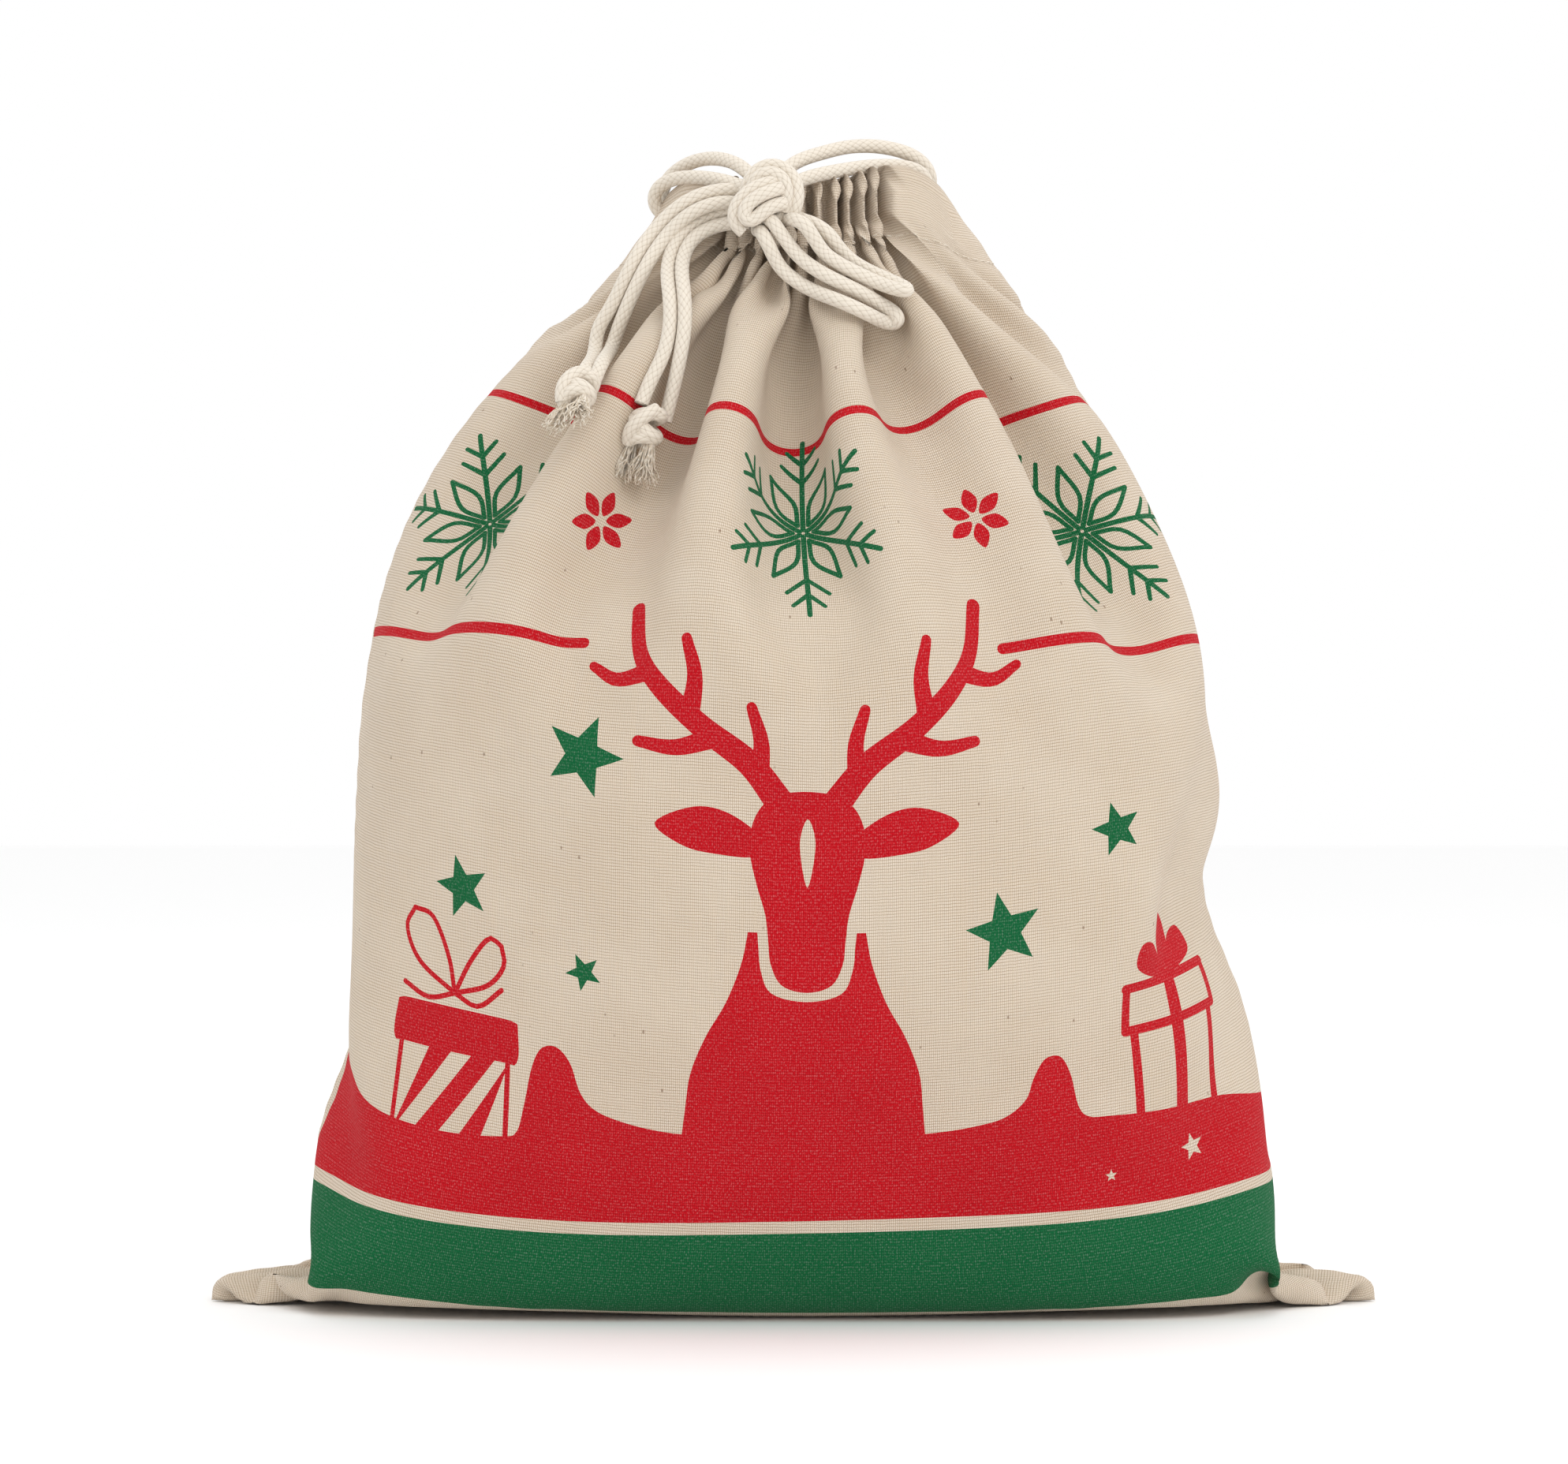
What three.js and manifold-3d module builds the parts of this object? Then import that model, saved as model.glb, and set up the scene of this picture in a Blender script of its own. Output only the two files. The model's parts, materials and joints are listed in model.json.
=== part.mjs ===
// A drawstring gift sack in cotton canvas, stuffed and standing, its mouth gathered and tied with a half bow.
// Millimetres, +Z up. The front faces -Y, X runs across the width, and the origin is on the floor under the middle.
// Each cord goes once round the mouth inside the casing, and its two ends leave at the same side seam as a pair.
import * as THREE from "three";
import { mergeVertices } from "three/addons/utils/BufferGeometryUtils.js";
import Module from "manifold-3d";

// Driving dimensions.
const FLAT_WIDTH = 380; // seam to seam, laid flat
const CLOTH = 1.5; // wall of the modelled cloth
const GAP = 0.3; // between touching pieces
const CORD = 5; // diameter of the drawcord
const PAIR = CORD + 0.35; // between the centres of two cords that lie side by side
const CASING_FOOT = 346; // height of the stitch line under the casing
const CASING_TOP = 366; // height of the turned edge
const TUNNEL_WALL = 1.2;
const TUNNEL = CORD + 1.4; // clear depth inside the casing
const EXIT = 5.7; // each casing stops this short of the side seam, so that the cords can leave
const EAR_HEIGHT = 20; // the bottom corners lie out flat on the floor below this height
const EAR_ROOT = 48; // half the depth of such a corner where it leaves the body
const BOX_HEIGHT = 110; // the rounded section turns into a boxy one below this height
const BOXINESS = 0.56; // power of the boxy section's sine and cosine

// The smooth outside of the stuffed sack: half width, half depth and height, from the floor up.
const BODY_STATIONS = [
  [150, 50, 0],
  [152.5, 56, 5],
  [154, 60, 14],
  [154, 64, 28],
  [153, 69.5, 50],
  [147.5, 82, 90],
  [140.5, 95, 130],
  [139.5, 99.5, 165],
  [131.5, 98, 215],
  [117, 86, 255],
  [92.5, 64, 295],
  [69, 45, 325],
  [53, 32, CASING_FOOT],
  [42, 25, CASING_TOP],
];
const bodyCurve = new THREE.CatmullRomCurve3(
  BODY_STATIONS.map((s) => new THREE.Vector3(...s)),
);
const PROFILE_STEPS = 400;
const profilePoints = bodyCurve.getPoints(PROFILE_STEPS);

// Half width and half depth of the sack at a height.
function girth(z) {
  const i = profilePoints.findIndex((p) => p.z >= z);
  if (i <= 0) return [profilePoints[0].x, profilePoints[0].y];
  const [low, high] = [profilePoints[i - 1], profilePoints[i]];
  const share = (z - low.z) / (high.z - low.z);
  return [
    THREE.MathUtils.lerp(low.x, high.x, share),
    THREE.MathUtils.lerp(low.y, high.y, share),
  ];
}

// A point on the smooth front of the sack at (x, z), moved out by height along the surface's own normal.
function overCloth([x, z, height]) {
  const surface = (px, pz) => {
    const [a, b] = girth(pz);
    return -b * Math.sqrt(Math.max(0.02, 1 - (px / a) ** 2));
  };
  const step = 0.5;
  const slopeX = (surface(x + step, z) - surface(x - step, z)) / (2 * step);
  const slopeZ = (surface(x, z + step) - surface(x, z - step)) / (2 * step);
  const normal = new THREE.Vector3(slopeX, -1, slopeZ).normalize();
  return new THREE.Vector3(x, surface(x, z), z).addScaledVector(normal, height);
}

// ---------- cloth ----------

// Folds that radiate from the gathered mouth, as a dent in millimetres at a height and an angle round the sack.
const FOLD_COUNT = 6;
const FOLD_FOOT = 235;
function foldDent(z, angle) {
  const share = THREE.MathUtils.smoothstep(z, FOLD_FOOT, CASING_FOOT);
  return 3.2 * share * (0.5 - 0.5 * Math.cos(2 * FOLD_COUNT * angle));
}

// A point of the outside at a height, an angle from the right seam (0) to the left seam (PI), and a depth share.
function outsidePoint(z, angle, depthShare = 1) {
  const [a, b] = girth(z);
  const power = THREE.MathUtils.lerp(BOXINESS, 1, THREE.MathUtils.smoothstep(z, 0, BOX_HEIGHT));
  const side = Math.sign(Math.cos(angle));
  const across = Math.abs(Math.cos(angle)) ** power;
  const dent = foldDent(z, angle);
  const seamWall = CLOTH * Math.min(1, Math.sin(angle) / 0.08);
  const y = (b - CLOTH - dent) * Math.sin(angle) ** power + seamWall;
  const earLength = FLAT_WIDTH / 2 - 1 - BODY_STATIONS[0][0];
  const ear = earLength * Math.max(0, 1 - z / EAR_HEIGHT) ** 1.3;
  const x = (a - dent) * across + ear * Math.max(0, 1 - y / EAR_ROOT);
  return new THREE.Vector3(side * x, -GAP / 2 - y * depthShare, z);
}

// A closed solid between two grids of points of the same size, the first facing out and the second facing in.
function sheetBetween(outer, inner) {
  const rows = outer.length;
  const columns = outer[0].length;
  const points = [...outer.flat(), ...inner.flat()];
  const at = (layer, r, c) => layer * rows * columns + r * columns + c;
  const faces = [];
  const quad = (a, b, c, d) => faces.push(a, b, c, a, c, d);
  for (let r = 0; r + 1 < rows; r++) {
    for (let c = 0; c + 1 < columns; c++) {
      quad(at(0, r, c), at(0, r, c + 1), at(0, r + 1, c + 1), at(0, r + 1, c));
      quad(at(1, r, c), at(1, r + 1, c), at(1, r + 1, c + 1), at(1, r, c + 1));
    }
    quad(at(0, r, 0), at(0, r + 1, 0), at(1, r + 1, 0), at(1, r, 0));
    const last = columns - 1;
    quad(at(0, r + 1, last), at(0, r, last), at(1, r, last), at(1, r + 1, last));
  }
  for (let c = 0; c + 1 < columns; c++) {
    quad(at(0, 0, c + 1), at(0, 0, c), at(1, 0, c), at(1, 0, c + 1));
    const top = rows - 1;
    quad(at(0, top, c), at(0, top, c + 1), at(1, top, c + 1), at(1, top, c));
  }
  return geometryOf(points, faces);
}

function geometryOf(points, faces) {
  return new THREE.BufferGeometry()
    .setFromPoints(points)
    .setIndex(faces);
}

// The front panel: half of the base from the bottom seam, then the wall up to the stitch line.
const PANEL_COLUMNS = 28;
const WALL_HEIGHTS = [6, 13, 24, 50, 90, 135, 180, 220, 252, 278, 300, 318, 333];
function frontPanel() {
  const rows = [
    ...[0, 0.5, 1].map((share) => ({ z: 0, share })),
    ...WALL_HEIGHTS.map((z) => ({ z, share: 1 })),
    { z: CASING_FOOT - GAP, share: 1 },
  ];
  const angles = Array.from(
    { length: PANEL_COLUMNS + 1 },
    (_, i) => Math.PI * (1 - i / PANEL_COLUMNS),
  );
  const outer = rows.map(({ z, share }) =>
    angles.map((angle) => outsidePoint(z, angle, share)),
  );
  const inner = rows.map(({ z, share }, r) =>
    angles.map((angle, c) => innerPoint(outer, r, c, z === 0 && share < 1)),
  );
  return sheetBetween(outer, inner);
}

// The inside of the wall opposite one outside point. It stays on its own side of the seam plane.
function innerPoint(outer, r, c, isBase) {
  const point = outer[r][c];
  const onSeam = c === 0 || c === PANEL_COLUMNS;
  if (onSeam)
    return new THREE.Vector3(
      point.x - Math.sign(point.x) * CLOTH,
      point.y,
      Math.max(point.z, CLOTH),
    );
  const along = outer[r][c + 1].clone().sub(outer[r][c - 1]);
  const up = outer[Math.min(r + 1, outer.length - 1)][c]
    .clone()
    .sub(outer[Math.max(r - 1, 0)][c]);
  const normal = isBase
    ? new THREE.Vector3(0, 0, -1)
    : along.cross(up).normalize();
  const inside = point.clone().addScaledVector(normal, -CLOTH);
  inside.y = Math.min(inside.y, -GAP / 2);
  inside.z = Math.max(inside.z, CLOTH);
  return inside;
}

// The casing: the hem turned in and stitched down, which leaves a flat tunnel for the cords. It is open at both ends.
const PLEATS = 7;
const PLEAT_COLUMNS = 4;
const PLEAT_SWELL = 0.8;
function frontCasing() {
  const outline = [
    [0, 0.1],
    [0, 0.9],
    [2.4, 1],
    [6.4, 1],
    [8.8, 0.9],
    [8.8, 0.1],
    [5.5, 0],
    [3.3, 0],
  ];
  const tunnelOutline = [
    [TUNNEL_WALL, 0.12],
    [TUNNEL_WALL, 0.88],
    [TUNNEL_WALL + TUNNEL, 0.88],
    [TUNNEL_WALL + TUNNEL, 0.12],
  ];
  const count = PLEATS * PLEAT_COLUMNS;
  const ring = (loop, share, swell) =>
    loop.map(([inward, height]) => {
      const z = THREE.MathUtils.lerp(CASING_FOOT, CASING_TOP, height);
      const [a, b] = girth(z).map((radius) => radius + swell - inward);
      const end = Math.asin(EXIT / b);
      const angle = THREE.MathUtils.lerp(Math.PI - end, end, share);
      return new THREE.Vector3(a * Math.cos(angle), -b * Math.sin(angle), z);
    });
  const shares = Array.from({ length: count + 1 }, (_, i) => i / count);
  const outer = shares.map((share) => {
    const swell = PLEAT_SWELL * Math.sin(Math.PI * PLEATS * share) ** 2;
    return ring(outline, share, swell);
  });
  const tunnel = shares.map((share) => ring(tunnelOutline, share, 0));
  return pipeBetween(outer, tunnel);
}

// A closed solid from rings of an outer loop and rings of an inner loop, with a rim at each end.
function pipeBetween(outer, inner) {
  const points = [...outer.flat(), ...inner.flat()];
  const rings = outer.length;
  const [n, m] = [outer[0].length, inner[0].length];
  const out = (r, i) => r * n + (i % n);
  const inn = (r, i) => rings * n + r * m + (i % m);
  const faces = [];
  for (let r = 0; r + 1 < rings; r++) {
    for (let i = 0; i < n; i++)
      faces.push(
        out(r, i), out(r + 1, i), out(r + 1, i + 1),
        out(r, i), out(r + 1, i + 1), out(r, i + 1),
      );
    for (let i = 0; i < m; i++)
      faces.push(
        inn(r, i), inn(r + 1, i + 1), inn(r + 1, i),
        inn(r, i), inn(r, i + 1), inn(r + 1, i + 1),
      );
  }
  const rim = rimFaces(outer[0], inner[0]);
  for (const [a, b, c] of rim) {
    const index = (r, k) => (k < n ? out(r, k) : inn(r, k - n));
    faces.push(index(0, a), index(0, b), index(0, c));
    faces.push(index(rings - 1, a), index(rings - 1, c), index(rings - 1, b));
  }
  return geometryOf(points, faces);
}

// The flat rim between an outer loop and a hole, triangulated in the plane of the first ring.
function rimFaces(outerLoop, innerLoop) {
  const flatten = (loop) =>
    loop.map((p) => new THREE.Vector2(-p.x, p.z));
  return THREE.ShapeUtils.triangulateShape(flatten(outerLoop), [
    flatten(innerLoop),
  ]);
}

// Seam allowances, inside the sack where the two panels are sewn together.
const ALLOWANCE = 8;
const SEAM_THICKNESS = 1.4;
const SIDE_SEAM_HEIGHTS = [26, 50, 85, 118, 150, 182, 212, 238, 260, 279, 296, 311, 325, 336, 343];
function sideSeam(side) {
  const strip = (y) =>
    SIDE_SEAM_HEIGHTS.map((z) => {
      const outside = girth(z)[0] - CLOTH - 1.2;
      return [outside, outside - ALLOWANCE].map(
        (x) => new THREE.Vector3(side * x, y, z),
      );
    });
  const [near, far] = [side, -side].map((s) => strip((s * SEAM_THICKNESS) / 2));
  return sheetBetween(near, far);
}

function bottomSeam() {
  const length = 2 * (BODY_STATIONS[0][0] - 12);
  return new THREE.BoxGeometry(length, SEAM_THICKNESS, ALLOWANCE).translate(
    0,
    0,
    CLOTH + GAP + ALLOWANCE / 2,
  );
}

// One row of thread round the foot of the casing, just proud of the cloth.
const THREAD = 0.8;
const THREAD_STEPS = 28;
function casingStitch() {
  const [a, b] = girth(CASING_FOOT);
  const out = THREAD / 2 + GAP;
  const points = Array.from({ length: THREAD_STEPS + 1 }, (_, i) => {
    const angle = Math.PI * (0.03 + (0.94 * i) / THREAD_STEPS);
    return new THREE.Vector3(
      (a + out) * Math.cos(angle),
      -(b + out) * Math.sin(angle),
      CASING_FOOT + 0.5,
    );
  });
  return tube(points, THREAD, THREAD_STEPS, 4);
}

// ---------- cords ----------

const CORD_SIDES = 8;
function tube(points, diameter, steps, sides = CORD_SIDES) {
  const corner = (i) => {
    const turn = (2 * Math.PI * i) / sides;
    return new THREE.Vector2(Math.cos(turn), Math.sin(turn)).multiplyScalar(
      diameter / 2,
    );
  };
  const section = new THREE.Shape(Array.from({ length: sides }, (_, i) => corner(i)));
  const route = new THREE.CatmullRomCurve3(points, false, "centripetal");
  return new THREE.ExtrudeGeometry(section, { steps, extrudePath: route });
}

// The run of a cord inside the casing: all the way round the mouth, from one exit back to the same side.
const RUN_STEPS = 30;
const RUN_END = 0.26; // angle from the side seam
function casingRun(side, height) {
  const z = THREE.MathUtils.lerp(CASING_FOOT, CASING_TOP, height);
  const [a, b] = girth(z);
  const inward = TUNNEL_WALL + TUNNEL / 2;
  const points = Array.from({ length: RUN_STEPS + 1 }, (_, i) => {
    const turn = RUN_END + (2 * (Math.PI - RUN_END) * i) / RUN_STEPS;
    return new THREE.Vector3(
      side * (a - inward) * Math.cos(turn),
      -(b - inward) * Math.sin(turn),
      z,
    );
  });
  return tube(points, CORD, RUN_STEPS);
}
const LEFT_RUN_HEIGHT = 0.26;
const RIGHT_RUN_HEIGHT = 0.7;

// From the casing's exits to the knot, through the air over the mouth: x, y, z.
const LEFT_FRONT_STRAND = [
  [-48.4, -2.9, 351.8],
  [-52, -4, 355.5],
  [-52, -5.5, 361.5],
  [-48, -8.5, 366.6],
  [-41, -13, 369.4],
  [-32, -20, 371.4],
  [-23, -28.5, 371.6],
  [-16.5, -35.5, 368.6],
  [-12, -40, 362],
];
const LEFT_BACK_STRAND = [
  [-48.4, 2.9, 351.8],
  [-51.5, 3.6, 356],
  [-51, 3, 362.5],
  [-46.5, 0.5, 369],
  [-39, -4, 373.2],
  [-30, -11, 375],
  [-21, -20, 373.6],
  [-13, -31, 366],
];
const RIGHT_FRONT_STRAND = [
  [43.6, -2.9, 360.4],
  [47, -3.6, 363.5],
  [48, -4.5, 368],
  [44, -7, 371.8],
  [36.5, -10.5, 374.4],
  [27, -15.5, 375.4],
  [17, -21.5, 374.2],
  [7, -28, 371.6],
  [-4, -36, 364],
];
const RIGHT_BACK_STRAND = [
  [43.6, 2.9, 360.4],
  [47, 3.6, 364],
  [48, 2.6, 370],
  [43.5, 0, 375.4],
  [35.5, -3.5, 378.8],
  [26, -8.5, 380.4],
  [16, -14.5, 380],
  [6, -21.5, 377.4],
  [-3, -28.5, 373],
  [-9, -35, 364],
];
// Pairs that leave the knot towards the left and hang down the front: x, z and height over the cloth.
const LEFT_TAIL = [
  [-13, 353.6, 13],
  [-20, 355.2, 13],
  [-27, 355.2, 12],
  [-34, 352.8, 12],
  [-40.5, 348.4, 12.4],
  [-46.5, 341.8, 11.6],
  [-51.5, 335, 9.4],
  [-56.4, 325.5, 7],
  [-60.8, 314.5, 5.6],
  [-64, 305.5, 5.2],
  [-66.2, 299.4, 5.6],
];
const RIGHT_TAIL = [
  [-13, 352, 5.6],
  [-20, 353.6, 5],
  [-26.5, 353.2, 4.4],
  [-32.5, 350, 4],
  [-36.6, 344.5, 4],
  [-38.6, 337.6, 4.2],
  [-38, 330, 4.6],
  [-37, 322.5, 5],
  [-38, 314.5, 5],
  [-40, 304.5, 5],
  [-41.4, 295, 5],
  [-42.8, 287.4, 5.6],
];
// The two bights of the half bow, out from the knot and back into it: x, z and height over the cloth.
const UPPER_BIGHT = [
  [-5, 350, 13],
  [0.6, 345, 11.5],
  [6.8, 338.6, 9],
  [14.8, 333.6, 8],
  [23.5, 330.4, 7.4],
  [30.6, 327.6, 7],
  [35.4, 323.6, 6.2],
  [34.2, 319.2, 4.8],
  [29, 319.6, 4],
  [21.6, 325, 3.6],
  [13, 328.8, 3.6],
  [4.6, 333.4, 4],
  [-1.6, 339.6, 5.6],
  [-8, 347, 7],
];
const LOWER_BIGHT = [
  [-9, 348, 13.2],
  [-6.4, 339.6, 11.6],
  [-1.4, 332.8, 9.4],
  [5.4, 327.2, 8],
  [13, 323.6, 7.4],
  [20.6, 319.8, 7.4],
  [27.6, 315.2, 7],
  [31.6, 310.6, 6.2],
  [29.4, 306.6, 4.8],
  [24, 307.8, 4],
  [15.6, 315, 3.6],
  [7.8, 319.4, 3.6],
  [0, 324.6, 3.6],
  [-6.4, 331.4, 4.2],
  [-11.6, 339.4, 5.6],
  [-14, 348, 7],
];

// The two cords of a pair, to either side of the route that they share.
function pairOf(route) {
  const curve = new THREE.CatmullRomCurve3(route, false, "centripetal");
  const outward = new THREE.Vector3(-0.25, -1, 0.45);
  return [1, -1].map((side) =>
    route.map((point, i) => {
      const tangent = curve.getTangent(i / (route.length - 1));
      const across = tangent.cross(outward).normalize();
      return point.clone().addScaledVector(across, (side * PAIR) / 2);
    }),
  );
}

// The knots, as plain solids with the outside size of the tied cord.
function knot(centre, radii) {
  return new THREE.SphereGeometry(1, 12, 8)
    .scale(...radii)
    .translate(...centre);
}
const BOW_KNOT = { centre: [-10, -42.5, 354.5], radii: [11.5, 9.5, 12] };
const TAIL_KNOT_RADII = [6.4, 6, 7.4];
const TAIL_KNOT_HEIGHT = 7.8; // of its middle over the cloth
const FRAY_HEIGHT = 4.4;
const FRAY_DROP = 19; // from the middle of the knot to the end of the fray

// The frayed end of a cord below its knot, hanging from one point to another.
function fray(from, to) {
  const length = from.distanceTo(to);
  const turned = new THREE.Quaternion().setFromUnitVectors(
    new THREE.Vector3(0, -1, 0),
    to.clone().sub(from).normalize(),
  );
  return new THREE.CylinderGeometry(2.1, 3, length, 8)
    .translate(0, -length / 2, 0)
    .applyQuaternion(turned)
    .translate(from.x, from.y, from.z);
}

// ---------- solids ----------

const wasm = await Module();
wasm.setup();

function solidOf(geometry) {
  const bare = geometry.clone();
  bare.deleteAttribute("normal");
  bare.deleteAttribute("uv");
  const merged = mergeVertices(bare, 1e-4);
  return new wasm.Manifold(
    new wasm.Mesh({
      numProp: 3,
      vertProperties: merged.attributes.position.array,
      triVerts: new Uint32Array(merged.index.array),
    }),
  );
}

// A geometry with other geometries cut out of it.
function cutBy(geometry, tools) {
  const left = tools.reduce((solid, tool) => solid.subtract(solidOf(tool)), solidOf(geometry));
  const mesh = left.getMesh();
  return new THREE.BufferGeometry()
    .setAttribute("position", new THREE.BufferAttribute(mesh.vertProperties, 3))
    .setIndex(new THREE.BufferAttribute(mesh.triVerts, 1));
}

const widened = (radii) => radii.map((r) => r + GAP + 0.1);

// ---------- the sack ----------

const canvas = new THREE.MeshStandardMaterial({ color: 0xdcc9ae, roughness: 0.92, metalness: 0 });
const cordCotton = new THREE.MeshStandardMaterial({ color: 0xd8cfbf, roughness: 0.95, metalness: 0 });
const threadCotton = new THREE.MeshStandardMaterial({ color: 0xe2d6bf, roughness: 0.9, metalness: 0 });

const sack = new THREE.Group();
function add(name, geometry, material) {
  const mesh = new THREE.Mesh(geometry, material);
  mesh.name = name;
  sack.add(mesh);
  return mesh;
}

// The back is the front turned half a turn about the vertical.
const HALF_TURN = Math.PI;
for (const [name, geometry, material] of [
  ["panel", frontPanel(), canvas],
  ["casing", frontCasing(), canvas],
  ["casing_stitch", casingStitch(), threadCotton],
]) {
  add(`front_${name}`, geometry, material);
  add(`back_${name}`, geometry, material).rotation.z = HALF_TURN;
}
add("left_side_seam", sideSeam(-1), canvas);
add("right_side_seam", sideSeam(1), canvas);
add("bottom_seam", bottomSeam(), canvas);
add("left_cord_in_casing", casingRun(-1, LEFT_RUN_HEIGHT), cordCotton);
add("right_cord_in_casing", casingRun(1, RIGHT_RUN_HEIGHT), cordCotton);

const knotSpace = knot(BOW_KNOT.centre, widened(BOW_KNOT.radii));
add("bow_knot", knot(BOW_KNOT.centre, BOW_KNOT.radii), cordCotton);
const vectors = (route) => route.map((p) => new THREE.Vector3(...p));
for (const [name, route] of [
  ["left_cord_front_strand", LEFT_FRONT_STRAND],
  ["left_cord_back_strand", LEFT_BACK_STRAND],
  ["right_cord_front_strand", RIGHT_FRONT_STRAND],
  ["right_cord_back_strand", RIGHT_BACK_STRAND],
])
  add(name, cutBy(tube(vectors(route), CORD, 16), [knotSpace]), cordCotton);

// The tails hang from the route point PIVOT, where a gap leaves the cord room to bend.
const PIVOT = 6;
const BEND_GAP = 3.2;
const SLAB = 120;
function tail(cord, route) {
  const laid = route.map(overCloth);
  const pivot = laid[PIVOT];
  const along = laid[PIVOT + 1].clone().sub(laid[PIVOT - 1]).normalize();
  // A block on one side of the bend, which cuts the pair into its standing and its hanging part.
  const block = (side) => {
    const turned = new THREE.Quaternion().setFromUnitVectors(new THREE.Vector3(0, 0, 1), along);
    return new THREE.BoxGeometry(SLAB, SLAB, SLAB * 2)
      .translate(0, 0, side * (SLAB - BEND_GAP / 2))
      .applyQuaternion(turned)
      .translate(pivot.x, pivot.y, pivot.z);
  };
  const [endX, endZ] = route[route.length - 1];
  const knotZ = endZ - TAIL_KNOT_RADII[2] + 1;
  const centre = overCloth([endX - 0.6, knotZ, TAIL_KNOT_HEIGHT]);
  const endKnot = knot(centre.toArray(), TAIL_KNOT_RADII);
  const endSpace = knot(centre.toArray(), widened(TAIL_KNOT_RADII));
  add(`${cord}_tail_knot`, endKnot, cordCotton);
  pairOf(laid).forEach((points, i) => {
    const label = ["outer", "inner"][i];
    const whole = tube(points, CORD, 22);
    add(`${cord}_tail_lead_${label}`, cutBy(whole, [knotSpace, block(1)]), cordCotton);
    add(`${cord}_tail_strand_${label}`, cutBy(whole, [endSpace, block(-1)]), cordCotton);
    const apart = [-3.3, 3.3][i];
    const from = overCloth([endX - 0.6 + apart, knotZ - 5, TAIL_KNOT_HEIGHT - 1.2]);
    const to = overCloth([endX - 0.6 + apart * 1.4, knotZ - FRAY_DROP, FRAY_HEIGHT]);
    add(`${cord}_tail_fray_${label}`, cutBy(fray(from, to), [endSpace]), cordCotton);
  });
}
tail("left_cord", LEFT_TAIL);
tail("right_cord", RIGHT_TAIL);

const BOW_CLEARANCE = 2.6;
const bowSpace = knot(BOW_KNOT.centre, BOW_KNOT.radii.map((r) => r + BOW_CLEARANCE));
for (const [name, route] of [
  ["bow_loop_upper", UPPER_BIGHT],
  ["bow_loop_lower", LOWER_BIGHT],
])
  add(name, cutBy(tube(route.map(overCloth), CORD, 28), [bowSpace]), cordCotton);

export default sack;
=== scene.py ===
"""A drawstring gift sack in printed cotton canvas, stuffed and standing, gathered and tied with a half bow.

Metres, +Z up, the front faces -Y. The cloth is cut flat, gathered on its cords round a soft stuffing and
settled by a small cloth solver, so that its folds are those of a sheet that doesn't stretch. The print is
laid on the flat panel.
"""

import json
import math

import bpy
import numpy as np
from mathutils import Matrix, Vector
from mathutils.bvhtree import BVHTree
from mathutils.geometry import delaunay_2d_cdt
from mathutils.kdtree import KDTree


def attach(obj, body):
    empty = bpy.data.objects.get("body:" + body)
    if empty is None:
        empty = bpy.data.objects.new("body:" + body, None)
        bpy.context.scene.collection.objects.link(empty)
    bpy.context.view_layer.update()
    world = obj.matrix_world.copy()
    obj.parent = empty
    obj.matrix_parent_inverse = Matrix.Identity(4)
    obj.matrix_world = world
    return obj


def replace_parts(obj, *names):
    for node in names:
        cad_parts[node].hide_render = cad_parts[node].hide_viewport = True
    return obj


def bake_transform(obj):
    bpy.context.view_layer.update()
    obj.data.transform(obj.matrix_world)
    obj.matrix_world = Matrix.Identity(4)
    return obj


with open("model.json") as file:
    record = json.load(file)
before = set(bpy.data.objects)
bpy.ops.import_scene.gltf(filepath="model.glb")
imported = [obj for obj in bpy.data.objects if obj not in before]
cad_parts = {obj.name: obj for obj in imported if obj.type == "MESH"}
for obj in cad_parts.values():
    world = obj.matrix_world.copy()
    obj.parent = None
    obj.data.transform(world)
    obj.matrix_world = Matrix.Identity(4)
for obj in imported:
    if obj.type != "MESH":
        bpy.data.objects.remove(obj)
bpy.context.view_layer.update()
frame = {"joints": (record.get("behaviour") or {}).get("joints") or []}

# ---------- driving dimensions ----------

PANEL_WIDTH = 0.380  # seam to seam, laid flat
PANEL_HEIGHT = 0.438  # bottom seam to turned edge
HALF_BASE = 0.050  # how much of the front panel lies under the stuffing
CLOTH = 0.0007  # thickness
CORD = 0.0045
HEM_TOP = 0.366  # height of the turned edge
CASING = 0.025  # stitch line to turned edge, along the cloth
STUFFING_TOP = 0.262
# A dent at the right side: height and depth.
HOLLOW = np.array([
    (0.106, 0), (0.114, 0.003), (0.122, 0.009), (0.130, 0.013), (0.138, 0.012), (0.150, 0.006),
    (0.165, 0.002), (0.180, 0),
])
# The left seam is turned to the front: radians, middle and half length along it.
LEFT_TURN = (0.20, 0.295, 0.10)

# The smooth outside: height, half width, half depth, power of the section (2 is an ellipse).
STATIONS = np.array([
    (0, 0.1500, 0.050, 3.6), (0.005, 0.1520, 0.056, 3.6), (0.014, 0.1525, 0.060, 3.5),
    (0.028, 0.1520, 0.063, 3.2), (0.050, 0.1480, 0.071, 2.8), (0.090, 0.1365, 0.0875, 2.35),
    (0.130, 0.1350, 0.0942, 2.15), (0.165, 0.1395, 0.094, 2.05), (0.215, 0.1298, 0.0945, 2),
    (0.255, 0.1090, 0.083, 2), (0.295, 0.0825, 0.062, 2), (0.325, 0.0715, 0.046, 2),
    (0.346, 0.0600, 0.034, 2), (HEM_TOP, 0.0455, 0.026, 2),
])
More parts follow.
